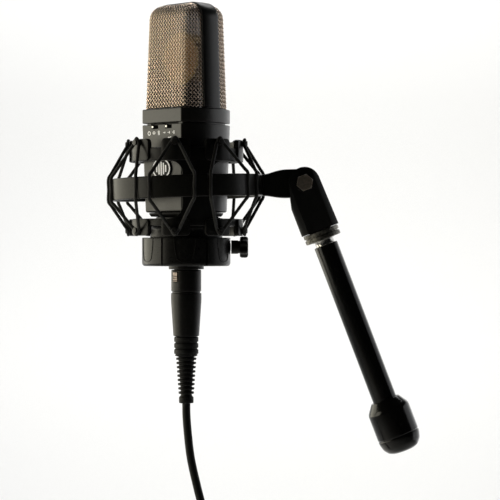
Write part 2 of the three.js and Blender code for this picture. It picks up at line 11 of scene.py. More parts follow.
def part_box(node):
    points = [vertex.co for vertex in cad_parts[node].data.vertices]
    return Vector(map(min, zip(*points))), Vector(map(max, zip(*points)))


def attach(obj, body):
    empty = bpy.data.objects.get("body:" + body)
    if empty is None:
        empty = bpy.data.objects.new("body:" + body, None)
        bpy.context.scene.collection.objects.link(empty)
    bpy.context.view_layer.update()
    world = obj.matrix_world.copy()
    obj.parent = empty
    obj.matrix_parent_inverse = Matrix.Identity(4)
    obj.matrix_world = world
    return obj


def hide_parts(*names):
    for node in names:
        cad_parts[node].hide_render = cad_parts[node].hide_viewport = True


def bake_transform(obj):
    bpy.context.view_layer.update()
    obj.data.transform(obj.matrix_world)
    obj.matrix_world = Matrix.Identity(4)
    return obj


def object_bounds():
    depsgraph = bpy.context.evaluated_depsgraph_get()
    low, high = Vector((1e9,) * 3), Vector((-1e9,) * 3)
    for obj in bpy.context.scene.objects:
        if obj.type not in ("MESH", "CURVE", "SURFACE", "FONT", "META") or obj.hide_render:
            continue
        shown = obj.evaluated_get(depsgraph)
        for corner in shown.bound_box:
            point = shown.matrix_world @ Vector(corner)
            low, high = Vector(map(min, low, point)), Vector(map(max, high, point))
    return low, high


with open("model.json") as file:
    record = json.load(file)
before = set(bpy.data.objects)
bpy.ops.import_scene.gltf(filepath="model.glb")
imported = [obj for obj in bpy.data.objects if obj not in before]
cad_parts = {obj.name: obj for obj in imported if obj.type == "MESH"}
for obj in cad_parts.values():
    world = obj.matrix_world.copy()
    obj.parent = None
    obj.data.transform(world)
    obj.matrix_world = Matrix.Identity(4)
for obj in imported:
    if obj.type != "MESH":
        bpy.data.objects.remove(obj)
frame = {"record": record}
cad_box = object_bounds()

MM = 0.001
TAU = 2 * math.pi


def rotation(degrees, axis):
    return Matrix.Rotation(math.radians(degrees), 4, axis)


def shift(*place):
    return Matrix.Translation(place)


# ---- Places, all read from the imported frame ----
# RIG, MIC, RING and BOOM turn millimetres into the part's metres. The rig's datum is on the
# microphone's axis, 8 mm below the clamp cup's top.

cup_low, cup_high = (Vector(corner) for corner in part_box("clamp_cup"))
CUP_RISE = 8 * MM
DATUM = Vector(((cup_low.x + cup_high.x) / 2, 0, cup_high.z - CUP_RISE))

joints = {joint["name"]: joint for joint in frame["record"]["behaviour"]["joints"]}
BOLT = Vector(joints["arm_tilt"]["pos_m"])
BOOM_UP = Vector(joints["boom_swivel"]["axis"]).normalized()
LEAN = math.atan2(-BOOM_UP.x, BOOM_UP.z)
BOLT_OFFSET = 1.2  # from the boom's axis

TO_METRES = Matrix.Scale(MM, 4)
RIG = Matrix.Translation(DATUM) @ TO_METRES
MIC = RIG @ rotation(-45, "Z")
BOOM_BACK = Vector((-BOLT_OFFSET * math.cos(LEAN), 0, -BOLT_OFFSET * math.sin(LEAN))) * MM
BOOM = Matrix.Translation(BOLT + BOOM_BACK) @ TO_METRES @ Matrix.Rotation(-LEAN, 4, "Y")
RING_CENTRE, RING_TILT = 40.3, math.radians(2)
RING = RIG @ shift(0, 0, RING_CENTRE) @ Matrix.Rotation(-RING_TILT, 4, "Y")


def rig_point(x, y, z):
    """A point of the rig, in millimetres, as a point of the part, in metres."""
    return RIG @ Vector((x, y, z))


def linked(name, data):
    """A new object of the data, in the scene."""
    thing = bpy.data.objects.new(name, data)
    bpy.context.collection.objects.link(thing)
    return thing


# ---- Camera ----

LENS, SENSOR = 148.5, 36
CAMERA_AT = rig_point(41.4, -1340, 0)


def make_camera():
    data = bpy.data.cameras.new("camera")
    data.lens, data.sensor_width = LENS, SENSOR
    data.clip_end = 20
    camera = linked("camera", data)
    camera.location = CAMERA_AT
    camera.rotation_euler = (math.radians(90), 0, 0)
    bpy.context.scene.camera = camera


# ---- Materials ----

class Shader:
    """A Principled material with object-space patterns; scales are per metre."""

    def __init__(self, name, color, rough, metal=0.0, **sockets):
        self.mat = bpy.data.materials.new(name)
        self.mat.use_nodes = True
        self.mat.diffuse_color = (*color, 1)
        self.tree = self.mat.node_tree
        self.base = next(n for n in self.tree.nodes if n.type == "BSDF_PRINCIPLED")
        self.base.inputs["Base Color"].default_value = (*color, 1)
        self.base.inputs["Roughness"].default_value = rough
        self.base.inputs["Metallic"].default_value = metal
        for key, value in sockets.items():
            self.base.inputs[key.replace("_", " ")].default_value = value
        self.coords = self.node("ShaderNodeTexCoord").outputs["Object"]

    def node(self, kind, **settings):
        node = self.tree.nodes.new(kind)
        for key, value in settings.items():
            setattr(node, key, value)
        return node

    def link(self, source, target):
        self.tree.links.new(source, target)

    def noise(self, scale, detail=3.0, stretch=None):
        node = self.node("ShaderNodeTexNoise")
        node.inputs["Scale"].default_value = scale
        node.inputs["Detail"].default_value = detail
        node.inputs["Roughness"].default_value = 0.55
        source = self.coords
        if stretch:
            mapping = self.node("ShaderNodeMapping")
            mapping.inputs["Scale"].default_value = stretch
            self.link(self.coords, mapping.inputs["Vector"])
            source = mapping.outputs["Vector"]
        self.link(source, node.inputs["Vector"])
        return node.outputs["Fac"]

    def cells(self, scale):
        node = self.node("ShaderNodeTexVoronoi")
        node.inputs["Scale"].default_value = scale
        self.link(self.coords, node.inputs["Vector"])
        return node.outputs["Distance"]

    def ramp(self, value, low, high):
        """A colour between low and high."""
        node = self.node("ShaderNodeValToRGB")
        first, last = node.color_ramp.elements
        first.position, first.color = 0.3, (*low, 1)
        last.position, last.color = 0.7, (*high, 1)
        self.link(value, node.inputs["Fac"])
        return node.outputs["Color"]

    def span(self, value, low, high, start=0.3, end=0.7):
        """A number between low and high as value goes from start to end."""
        node = self.node("ShaderNodeMapRange")
        for key, number in (("From Min", start), ("From Max", end), ("To Min", low), ("To Max", high)):
            node.inputs[key].default_value = number
        self.link(value, node.inputs["Value"])
        return node.outputs["Result"]

    def color(self, value, low, high):
        self.link(self.ramp(value, low, high), self.base.inputs["Base Color"])

    def rough(self, value, low, high):
        self.link(self.span(value, low, high), self.base.inputs["Roughness"])

    def bump(self, value, depth, strength):
        """Relief of the given depth in metres; calls stack."""
        node = self.node("ShaderNodeBump")
        node.inputs["Strength"].default_value = strength
        node.inputs["Distance"].default_value = depth
        self.link(value, node.inputs["Height"])
        before = self.base.inputs["Normal"].links
        if before:
            self.link(before[0].from_socket, node.inputs["Normal"])
        self.link(node.outputs["Normal"], self.base.inputs["Normal"])

    def worn_edges(self, dark, light, edge):
        """Base colour from noise, lighter where the surface turns a corner."""
        bevel = self.node("ShaderNodeBevel", samples=4)
        bevel.inputs["Radius"].default_value = 0.6 * MM
        geometry = self.node("ShaderNodeNewGeometry")
        dot = self.node("ShaderNodeVectorMath", operation="DOT_PRODUCT")
        self.link(bevel.outputs["Normal"], dot.inputs[0])
        self.link(geometry.outputs["Normal"], dot.inputs[1])
        base = self.ramp(self.noise(700), dark, light)
        mix = self.node("ShaderNodeMixRGB")
        self.link(self.span(dot.outputs["Value"], 1.0, 0.0, 0.86, 0.99), mix.inputs["Fac"])
        self.link(base, mix.inputs["Color1"])
        mix.inputs["Color2"].default_value = (*edge, 1)
        self.link(mix.outputs["Color"], self.base.inputs["Base Color"])


def satin_paint(name, dark, light, rough, gloss=0.5):
    """Sprayed satin paint with fine orange peel."""
    look = Shader(name, light, rough[0], Specular_IOR_Level=gloss)
    look.worn_edges(dark, light, tuple(min(1, c * 3) for c in light))
    look.rough(look.noise(450), *rough)
    look.bump(look.noise(2600, 2), 0.00002, 0.7)
    return look.mat


def moulded_plastic(name, dark, light, rough=(0.4, 0.55), gloss=0.22, alpha=1.0):
    """Injection-moulded plastic with a fine spark-eroded grain."""
    grain = 0.00003
    look = Shader(name, light, rough[0], Specular_IOR_Level=gloss, Alpha=alpha)
    look.color(look.noise(260), dark, light)
    look.rough(look.noise(900), *rough)
    look.bump(look.noise(3800, 2), grain, 0.8)
    look.bump(look.cells(2400), grain * 0.6, 0.5)
    return look.mat


def metal(name, dark, light, rough, brush=None, depth=0.00001):
    """Bare or plated metal; brush stretches its grain along an axis."""
    look = Shader(name, light, rough[0], 1.0)
    look.color(look.noise(500, stretch=brush), dark, light)
    look.rough(look.noise(1500, stretch=brush), *rough)
    look.bump(look.noise(4000, 2, stretch=brush), depth, 0.6)
    return look.mat


def rubber(name, dark, light):
    look = Shader(name, light, 0.6, Specular_IOR_Level=0.2)
    look.color(look.noise(320), dark, light)
    look.rough(look.noise(700), 0.5, 0.68)
    look.bump(look.noise(5200, 2), 0.00003, 0.8)
    return look.mat


def braid(name, dark, light):
    """Woven textile over elastic threads; the weave itself is in the mesh."""
    look = Shader(name, light, 0.75, Sheen_Weight=0.08, Sheen_Roughness=0.4)
    look.color(look.noise(5200, 2), dark, light)
    look.bump(look.noise(8000, 2), 0.00005, 0.8)
    return look.mat


def printed(name, color, glow=0.0):
    """A matt print; glow lifts the white ink to the photo's brightness."""
    # The emission is painted light: the white ink glows though it is no lamp.
    look = Shader(name, color, 0.5, Emission_Color=(*color, 1), Emission_Strength=glow)
    look.color(look.noise(1500), tuple(0.85 * c for c in color), color)
    look.rough(look.noise(2500), 0.42, 0.55)
    return look.mat


def grey(value):
    return (value, value, value)


MOULDING = (0.006, 0.006, 0.0057), (0.011, 0.0108, 0.0102)
BLACK = grey(0.003), grey(0.006)
LOOKS = {
    "body": satin_paint("mic_paint", (0.008, 0.0078, 0.007), (0.014, 0.0135, 0.012), (0.3, 0.36)),
    "frame": satin_paint("head_paint", grey(0.006), (0.011, 0.011, 0.0105), (0.28, 0.34), 0.4),
    "cradle": moulded_plastic("cradle_plastic", *MOULDING, (0.32, 0.4)),
    "cup": moulded_plastic("cup_plastic", *MOULDING, (0.26, 0.34)),
    "swivel": moulded_plastic("swivel_plastic", *BLACK, (0.5, 0.62)),
    "knob": moulded_plastic("knob_plastic", *BLACK, (0.45, 0.55)),
    "inner": moulded_plastic("inner_plastic", grey(0.005), grey(0.01)),
    "tube": satin_paint("tube_lacquer", grey(0.003), grey(0.005), (0.14, 0.2), 0.3),
    "mesh": metal("mesh_wire", (0.62, 0.5, 0.4), (0.95, 0.79, 0.66), (0.18, 0.28)),
    "steel": metal("bright_steel", (0.42, 0.41, 0.39), (0.6, 0.59, 0.57), (0.14, 0.26), (1, 1, 14)),
    "nickel": metal("knurled_nickel", (0.05, 0.048, 0.042), (0.26, 0.25, 0.22), (0.3, 0.45)),
    "latch": metal("latch_steel", (0.12, 0.1, 0.09), (0.24, 0.2, 0.18), (0.3, 0.42)),
    "bronze": satin_paint("bolt_bronze", (0.1, 0.085, 0.07), (0.17, 0.145, 0.12), (0.34, 0.46)),
    "brass": metal("turned_brass", (0.5, 0.34, 0.13), (0.72, 0.52, 0.24), (0.22, 0.34)),
    "gold": metal("gold_film", (0.8, 0.45, 0.2), (0.95, 0.6, 0.32), (0.2, 0.32), depth=0.00003),
    "rubber": rubber("cable_rubber", *BLACK),
    "boot": rubber("boot_rubber", grey(0.004), grey(0.008)),
    "braid": braid("elastic_braid", grey(0.003), (0.008, 0.008, 0.0076)),
    "ring": satin_paint("ring_paint", (0.007, 0.007, 0.0063), (0.012, 0.0118, 0.0105), (0.28, 0.34), 0.2),
    "plug": satin_paint("plug_paint", (0.005, 0.0048, 0.0045), (0.009, 0.0088, 0.0084), (0.34, 0.42), 0.2),
    "strap": braid("strap_weave", grey(0.005), grey(0.012)),
    "gauze": moulded_plastic("inner_gauze", (0.002, 0.0016, 0.0012), (0.006, 0.0046, 0.0032),
                             (0.9, 0.98), 0.1, 0.64),
    "board": moulded_plastic("circuit_green", (0.02, 0.09, 0.035), (0.04, 0.15, 0.06)),
    # The ink's glow of 0.3 is painted light.
    "ink": printed("white_ink", (0.95, 0.94, 0.9), 0.3),
    "paper": printed("backdrop_paper", (0.9, 0.9, 0.89)),
}


# ---- Mesh building. Shapes are lists of vertices and faces in millimetres until they are placed. ----

class Shape:
    """Vertices and faces that can be joined with others before they become one piece."""

    def __init__(self, verts=(), faces=()):
        self.verts = [Vector(v) for v in verts]
        self.faces = [tuple(f) for f in faces]

    def add(self, other, matrix=None):
        start = len(self.verts)
        self.verts += [matrix @ v if matrix else v.copy() for v in other.verts]
        self.faces += [tuple(i + start for i in face) for face in other.faces]
        return self

    def moved(self, matrix):
        return Shape().add(self, matrix)


def face_outward(mesh, merge=None):
    """Turns a mesh's faces outward, after it joins the vertices closer than merge."""
    solid = bmesh.new()
    solid.from_mesh(mesh)
    if merge:
        bmesh.ops.remove_doubles(solid, verts=solid.verts, dist=merge)
    bmesh.ops.recalc_face_normals(solid, faces=solid.faces)
    solid.to_mesh(mesh)
    solid.free()


def placed(mesh, look, body, replaces, bevel=None):
    """An object of the mesh; bevel rounds its sharp edges by that many millimetres."""
    mesh.materials.append(LOOKS[look])
    thing = linked(mesh.name, mesh)
    if bevel:
        edge = thing.modifiers.new("edges", "BEVEL")
        edge.width, edge.segments = bevel * MM, 3
        edge.limit_method, edge.angle_limit = "ANGLE", math.radians(35)
    if body:
        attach(thing, body)
    if replaces:
        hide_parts(*replaces)
    return thing


def piece(name, shape, look, body, matrix=RIG, replaces=(), bevel=None):
    """An object of the shape, which rides on body and has its look."""
    mesh = bpy.data.meshes.new(name)
    mesh.from_pydata([matrix @ v for v in shape.verts], [], shape.faces)
    mesh.validate()
    face_outward(mesh)
    mesh.shade_smooth()
    mesh.set_sharp_from_angle(angle=math.radians(32))
    return placed(mesh, look, body, replaces, bevel)


def piece_of_arrays(name, arrays, look, replaces=()):
    """A piece of the microphone straight from its arrays of vertices and faces, for large meshes."""
    verts, faces = arrays
    grid = np.array(MIC)
    place = verts @ grid[:3, :3].T + grid[:3, 3]
    mesh = bpy.data.meshes.new(name)
    mesh.from_pydata(place.tolist(), [], faces.tolist())
    mesh.shade_smooth()
    return placed(mesh, look, "microphone", replaces)


def rounded(points, radius, steps=4, closed=False):
    """A polyline whose corners are arcs; a point may carry its own radius as a third number."""
    count = len(points)
    out = []
    for i, point in enumerate(points):
        here = Vector(point[:2])
        size = point[2] if len(point) > 2 else radius
        if not closed and i in (0, count - 1) or size <= 0:
            out.append(here)
            continue
        before, after = Vector(points[i - 1][:2]), Vector(points[(i + 1) % count][:2])
        one, two = (before - here), (after - here)
        reach = min(size, one.length * 0.48, two.length * 0.48)
        start, end = here + one.normalized() * reach, here + two.normalized() * reach
        for k in range(steps + 1):
            t = k / steps
            out.append(start * (1 - t) ** 2 + here * 2 * t * (1 - t) + end * t * t)
    return out


def arc(cx, cy, radius, start, end, steps):
    """Points of an arc, angles in degrees."""
    angles = [math.radians(start + (end - start) * k / steps) for k in range(steps + 1)]
    return [(cx + radius * math.cos(a), cy + radius * math.sin(a)) for a in angles]


def revolve(profile, segments=64, radius_at=None, closed=False, angles=None):
    """Turns a profile of (radius, height) about Z. radius_at(radius, height, angle) may reshape it."""
    angles = angles or [TAU * k / segments for k in range(segments)]
    segments = len(angles)
    verts, rows = [], []
    for r, z in profile:
        if r < 1e-6:
            rows.append([len(verts)] * segments)
            verts.append((0, 0, z))
            continue
        rows.append(list(range(len(verts), len(verts) + segments)))
        for angle in angles:
            real = radius_at(r, z, angle) if radius_at else r
            verts.append((real * math.sin(angle), -real * math.cos(angle), z))
    if closed:
        rows.append(rows[0])
    faces = []
    for low, high in zip(rows, rows[1:]):
        for k in range(segments):
            n = (k + 1) % segments
            face = [low[k], low[n], high[n], high[k]]
            face = [v for i, v in enumerate(face) if v != face[i - 1]]
            if len(face) > 2:
                faces.append(face)
    return Shape(verts, faces)


def turned(points, radius=0.4, segments=64, steps=4, closed=False, **more):
    """A turned solid with rounded edges. An open profile starts and ends on the axis."""
    return revolve(rounded(points, radius, steps, closed), segments, closed=closed, **more)


def turned_ring(points, radius=0.4, segments=64, steps=4, **more):
    """A turned solid with an open middle and rounded edges."""
    return turned(points, radius, segments, steps, True, **more)


def cylinder(radius, low, high, edge=0, segments=64):
    return turned([(0, low), (radius, low), (radius, high), (0, high)], edge, segments)


def sleeve(inner, outer, low, high, edge, segments=64):
    return turned_ring([(inner, low), (outer, low), (outer, high), (inner, high)], edge, segments)


def prism(outline, low, high):
    """An outline in X and Y, given height from low to high."""
    count = len(outline)
    verts = [(x, y, z) for z in (low, high) for x, y in outline]
    faces = [tuple(reversed(range(count))), tuple(range(count, 2 * count))]
    faces += [(i, (i + 1) % count, (i + 1) % count + count, i + count) for i in range(count)]
    return Shape(verts, faces)


def upright(outline, low, high):
    """An outline in X and Z, with thickness from y = low to y = high."""
    return prism(outline, -high, -low).moved(rotation(90, "X"))


def box(x0, x1, y0, y1, z0, z1):
    return prism([(x0, y0), (x1, y0), (x1, y1), (x0, y1)], z0, z1)


def directions(path, closed=False):
    """The direction at each point of a path."""
    last = len(path) - 1
    ways = []
    for i in range(len(path)):
        before = path[i - 1] if closed or i else path[0]
        after = path[(i + 1) % len(path)] if closed or i < last else path[last]
        ways.append((after - before).normalized())
    return ways


def blades(sections, caps=True):
    """A solid through closed sections of equal point count."""
    count = len(sections[0])
    verts = [v for section in sections for v in section]
    faces = []
    for row in range(len(sections) - 1):
        for k in range(count):
            a, b = row * count + k, row * count + (k + 1) % count
            faces.append((a, b, b + count, a + count))
    if caps:
        last = (len(sections) - 1) * count
        faces += [tuple(reversed(range(count))), tuple(range(last, last + count))]
    return Shape(verts, faces)


def swept(points, radius, sides=12, radius_at=None):
    """A round rod along a path. radius_at(radius, length so far, angle) may reshape it."""
    ways = directions(points)
    one = ways[0].orthogonal().normalized()
    run = 0.0
    sections = []
    for i, (point, way) in enumerate(zip(points, ways)):
        one = (one - way * one.dot(way)).normalized()
        two = way.cross(one)
        if i:
            run += (point - points[i - 1]).length
        section = []
        for k in range(sides):
            angle = TAU * k / sides
            r = radius_at(radius, run, angle) if radius_at else radius
            section.append(point + one * (r * math.cos(angle)) + two * (r * math.sin(angle)))
        sections.append(section)
    return blades(sections)


def spline(points, per_span=8, closed=False):
    """A smooth path through points (centripetal Catmull-Rom)."""
    def mix(one, two, start, end, t):
        return one * ((end - t) / (end - start)) + two * ((t - start) / (end - start))

    path = [Vector(p) for p in points]
    count = len(path)
    out = []
    for i in range(count if closed else count - 1):
        p1, p2 = path[i], path[(i + 1) % count]
        p0 = path[i - 1] if closed or i else p1 * 2 - p2
        p3 = path[(i + 2) % count] if closed or i + 2 < count else p2 * 2 - p1
        t0 = 0.0
        t1 = t0 + math.sqrt((p1 - p0).length)
        t2 = t1 + math.sqrt((p2 - p1).length)
        t3 = t2 + math.sqrt((p3 - p2).length)
        for k in range(per_span):
            t = t1 + (t2 - t1) * k / per_span
            a2 = mix(p1, p2, t1, t2, t)
            b1 = mix(mix(p0, p1, t0, t1, t), a2, t0, t2, t)
            b2 = mix(a2, mix(p2, p3, t2, t3, t), t1, t3, t)
            out.append(mix(b1, b2, t1, t2, t))
    if not closed:
        out.append(path[-1].copy())
    return out


def around(radius, degrees, z):
    """A point round the microphone's axis: 0 degrees is the camera side and 90 is +X."""
    angle = math.radians(degrees)
    return Vector((radius * math.sin(angle), -radius * math.cos(angle), z))


def angle_off(degrees, marks):
    """The signed angle to the nearest mark, in degrees."""
    return min(((degrees - mark + 180) % 360 - 180 for mark in marks), key=abs)


def divided(outline, parts_of):
    """A closed outline with every edge cut into parts_of(length) parts."""
    out = []
    for i, point in enumerate(outline):
        after = outline[(i + 1) % len(outline)]
        parts = parts_of((after - point).length)
        out += [point.lerp(after, k / parts) for k in range(parts)]
    return out


def bolted(shape, *tools, mode="DIFFERENCE"):
    """The shape with the tools cut away, or kept in common."""
    things = []
    for part in (shape, *tools):
        mesh = bpy.data.meshes.new("tool")
        mesh.from_pydata(part.verts, [], part.faces)
        face_outward(mesh, merge=1e-5)
        things.append(linked("tool", mesh))
    base = things[0]
    for tool in things[1:]:
        change = base.modifiers.new("cut", "BOOLEAN")
        change.operation, change.solver, change.object = mode, "EXACT", tool
    bpy.context.view_layer.update()
    result = base.evaluated_get(bpy.context.evaluated_depsgraph_get())
    final = result.to_mesh()
    cut = Shape([v.co for v in final.vertices], [tuple(p.vertices) for p in final.polygons])
    result.to_mesh_clear()
    for thing in things:
        mesh = thing.data
        bpy.data.objects.remove(thing)
        bpy.data.meshes.remove(mesh)
    return cut


# ---- Microphone: casing, switches and emblem ----

BODY = {"flat": 18.5, "depth": 21.8, "width": 25.8}
HEAD = {"flat": 18.6, "depth": 19.6, "width": 25}
BODY_TOP, BODY_FOOT, BODY_TAPER = 80.8, 24.3, 0.075
COLLAR_FOOT, COLLAR_TOP = 81.9, 91
HEAD_TOP, DOME, HEAD_LEAN, BAND = 159.2, 9.5, 0.035, 7
SWITCHES = (-6.4, 6.4)


def side_arc(size, inset=0.0, scale=1.0):
    """Centre, radius and half angle of a casing's crowned side."""
    flat, depth, width = (size[key] * scale for key in ("flat", "depth", "width"))
    bulge = width - flat
    radius = (depth * depth + bulge * bulge) / (2 * bulge)
    return width - radius, radius - inset, math.asin((depth - inset) / (radius - inset))


def plan(size, inset=0.0, scale=1.0, corner=0.9, steps=14):
    """Casing outline: flat front and back, crowned sides, softened corners."""
    centre, radius, half = side_arc(size, inset, scale)
    side = []
    for i in range(steps + 1):
        turn = half * (2 * i / steps - 1)
        soft = corner if i in (0, steps) else 0
        side.append((centre + radius * math.cos(turn), radius * math.sin(turn), soft))
    outline = side + [(-x, -y, soft) for x, y, soft in side]
    return rounded(outline, corner, 6, closed=True)


def casing(size, levels, corner=0.9):
    """A solid through the casing outline at each (height, inset, scale)."""
    return blades([[(p.x, p.y, z) for p in plan(size, inset, scale, corner)] for z, inset, scale in levels])


def body_scale(z):
    return 1 - BODY_TAPER * (BODY_TOP - z) / (BODY_TOP - BODY_FOOT)


def full_scale(_):
    return 1.0


def fillet(z, direction, radius, scale_at):
    """Levels of a rounded edge that ends at height z."""
    levels = []
    for i in range(6):
        angle = math.radians(90 * i / 5)
        inset = radius * (1 - math.sin(angle))
        height = z - direction * radius * (1 - math.cos(angle))
        levels.append((height, inset, scale_at(height)))
    return levels if direction < 0 else levels[::-1]


def make_casing():
    levels = fillet(BODY_FOOT, -1, 1.2, body_scale)
    levels += [(z, 0, body_scale(z)) for z in (34, 46, 58, 70)]
    levels += fillet(BODY_TOP, 1, 0.5, body_scale)
    notches = [box(x - 3.2, x + 3.2, -60, -15, BODY_TOP - 2.9, BODY_TOP + 3) for x in SWITCHES]
    hollow = casing(BODY, [(20, 2, body_scale(20)), (90, 2, body_scale(90))], 1.2)
    shell = bolted(casing(BODY, levels), hollow, *notches)
    piece("body", shell, "body", "microphone", MIC, ["body_shell"])

    levels = fillet(COLLAR_FOOT, -1, 0.5, full_scale) + fillet(COLLAR_TOP, 1, 0.8, full_scale)
    collar = casing(BODY, levels)
    collar.add(casing(BODY, [(76.2, 2.8, 1), (COLLAR_FOOT + 1, 2.8, 1)], 1.2))
    room = box(-13, 13, -60, -12, 70, COLLAR_FOOT - 0.1)
    piece("collar", bolted(collar, room), "body", "microphone", MIC, ["head_collar"])

    foot = [(BODY_FOOT - drop, inset, body_scale(BODY_FOOT))
            for drop, inset in ((2.7, 3.4), (2.2, 2.7), (1.2, 2.1), (0.3, 2.0))]
    cap = bolted(casing(BODY, foot, 2), cylinder(9, 15, 30))
    piece("bottom_cap", cap, "inner", "microphone", MIC, ["bottom_plate"])
    stem = sleeve(11.7, 19.7, -7.8, 21.3, 0.8, 96)
    piece("stem", stem, "frame", "microphone", MIC, ["base_stem"])


def make_switches():
    front, back = -BODY["depth"] - 0.5, -BODY["depth"] + 2.4
    z = BODY_TOP - 1.5
    for name, x in zip(("pattern", "pad"), SWITCHES):
        housing = box(x - 5.2, x + 5.2, back, back + 5, z - 3.6, z + 2)
        slot = box(x - 3.4, x + 3.4, back - 1, back + 3, z - 1.1, z + 1.1)
        piece(f"{name}_housing", bolted(housing, slot), "inner", "microphone", MIC,
              [f"{name}_switch_housing"], bevel=0.15)
        lever = box(x - 2.6, x - 0.8, front, back + 2.4, z - 0.8, z + 0.8)
        piece(f"{name}_lever", lever, "steel", f"{name}_switch", MIC,
              [f"{name}_switch_lever"], bevel=0.3)


def panel_place(z, lift):
    """A place on the middle of the casing's front face: z up, lift in front."""
    slope = math.atan(BODY["depth"] * BODY_TAPER / (BODY_TOP - BODY_FOOT))
    y = -BODY["depth"] * body_scale(z) - lift
    return MIC @ shift(0, y, z) @ Matrix.Rotation(slope, 4, "X")


def stroke(points, width, closed=False, thick=0.06):
    """A raised line of even width through points of X and Z."""
    path = [Vector(p) for p in points]
    count = len(path)
    left, right = [], []
    for here, way in zip(path, directions(path, closed)):
        side = Vector((-way.y, way.x)) * width / 2
        left.append(here + side)
        right.append(here - side)
    verts, faces = [], []
    for y in (-thick, 0):
        for edge in (left, right):
            verts += [(p.x, y, p.y) for p in edge]
    for i in range(count if closed else count - 1):
        n = (i + 1) % count
        a, b, c, d = 0, count, 2 * count, 3 * count
        faces += [(a + i, a + n, b + n, b + i), (c + i, d + i, d + n, c + n),
                  (a + i, c + i, c + n, a + n), (b + i, b + n, d + n, d + i)]
    if not closed:
        faces += [(0, count, 3 * count, 2 * count),
                  (count - 1, 3 * count - 1, 4 * count - 1, 2 * count - 1)]
    return Shape(verts, faces)


def circle(cx, cy, radius, steps=20):
    return arc(cx, cy, radius, 0, 360, steps)[:-1]


def make_prints():
    """Generic pickup patterns and level marks under the switches."""
    marks = Shape()
    z = BODY_TOP - 5.5
    x = SWITCHES[0] - 0.9
    marks.add(stroke(circle(x - 4.6, z, 1.15), 0.55, closed=True))
    heart = []
    for k in range(24):
        a = TAU * k / 24
        swell = 0.55 + 0.45 * math.cos(a)
        heart.append((x + 1.5 * math.sin(a) * swell, z + 1.2 * math.cos(a) * swell - 0.3))
    marks.add(stroke(heart, 0.5, closed=True))
    for dz in (-0.65, 0.65):
        marks.add(stroke(circle(x + 4.6, z + dz, 0.6, 14), 0.5, closed=True))
    x = SWITCHES[1] + 0.9
    for dx, tall in ((-4.3, 0.7), (0, 1.1), (4.3, 1.6)):
        marks.add(stroke([(x + dx, z - tall / 1.5), (x + dx, z + tall / 1.5)], 0.75))
        marks.add(stroke([(x + dx - 1.6, z), (x + dx - 0.8, z)], 0.5))
    marks.add(stroke([(x - 1.5, z - 3.2), (x + 0.4, z - 3.2), (x + 1.5, z - 2.8)], 0.6))
    place = panel_place(z, 0) @ shift(0, 0, -z)
    piece("panel_marks", marks, "ink", "microphone", place)


def make_badge():
    """A plain oval with a ring and five bars."""
    half_w, half_h, thick = 8.9, 7.2, 0.9
    place = panel_place(52.3, 0.3)

    def ellipse(grow, y):
        angles = [TAU * k / 72 for k in range(72)]
        return [(math.cos(a) * (half_w - grow), y, math.sin(a) * (half_h - grow)) for a in angles]

    levels = [(0.15, 0), (0, -0.15), (0, -thick + 0.25), (0.08, -thick + 0.08), (0.25, -thick),
              (0.55, -thick), (0.65, -thick + 0.12), (7.0, -thick + 0.12)]
    plaque = blades([ellipse(grow, y) for grow, y in levels])
    piece("badge_plaque", plaque, "knob", "microphone", place, ["badge"])
    art = stroke([(x, z) for x, _, z in ellipse(1.1, 0)], 0.95, closed=True, thick=0.1)
    for k, tall in enumerate((2.2, 3.7, 4.4, 3.7, 2.2)):
        x = -4.2 + 2.1 * k
        art.add(stroke([(x, -tall), (x, tall)], 1.15, thick=0.1))
    piece("badge_art", art, "ink", "microphone", place @ shift(0, -thick + 0.12, 0))


# ---- Microphone: head ----

WIRE, PITCH, WIRE_SIDES = 0.29, 1.9, 6
CLOTH_INSET, GAUZE_INSET = 0.75, 1.3
SHOULDER = HEAD_TOP - DOME

# The head's half outline: a flat front of FLAT_HALF, then SIDE_RUN round the crowned side to the band
HEAD_CENTRE, HEAD_RADIUS, HEAD_HALF = side_arc(HEAD)
FLAT_HALF = HEAD_CENTRE + HEAD_RADIUS * math.cos(HEAD_HALF)
SIDE_RUN = HEAD_RADIUS * (HEAD_HALF - math.asin(BAND / HEAD_RADIUS))

# How far the wire cloth and the gauze reach along the outline and up
REACH, CLOTH_FOOT = FLAT_HALF + SIDE_RUN - 0.1, COLLAR_TOP - 0.2
CLOTH_TOP = SHOULDER + (DOME - 0.7) * math.acos((DOME - (HEAD["depth"] - BAND - 0.4)) / (DOME - 0.7))


def head_surface(p, q, inset, sign):
    """Points of one half of the head: p mm along its outline, q mm up from the datum and over the dome."""
    round_radius = DOME - inset
    angle = np.clip((q - SHOULDER) / round_radius, 0, None)
    over = angle > 0
    angle = np.minimum(angle, math.pi / 2)
    z = np.where(over, SHOULDER + round_radius * np.sin(angle), q)
    edge = inset + round_radius * (1 - np.cos(angle))
    edge = np.where(over, edge, inset) + HEAD_LEAN * (z - COLLAR_TOP)
    r = HEAD_RADIUS - edge
    half = np.arcsin(np.clip((HEAD["depth"] - edge) / r, -1, 1))
    gate = np.arcsin(BAND / r)
    corner = HEAD_CENTRE + r * np.cos(half)
    side = np.abs(p) > FLAT_HALF
    along = np.clip((np.abs(p) - FLAT_HALF) / SIDE_RUN, 0, 1.35)
    turn = half + (gate - half) * along
    x = np.where(side, np.sign(p) * (HEAD_CENTRE + r * np.cos(turn)), p / FLAT_HALF * corner)
    y = np.where(side, r * np.sin(turn), HEAD["depth"] - edge)
    return np.stack([x, sign * y, z], axis=-1)


def smooth_head(p, q, inset, sign):
    """The same surface with its upright corners rounded."""
    weights = [4 - abs(k) for k in range(-3, 4)]
    taps = [head_surface(p + 1.1 * k, q, inset, sign) for k in range(-3, 4)]
    return sum(w / sum(weights) * tap for w, tap in zip(weights, taps))


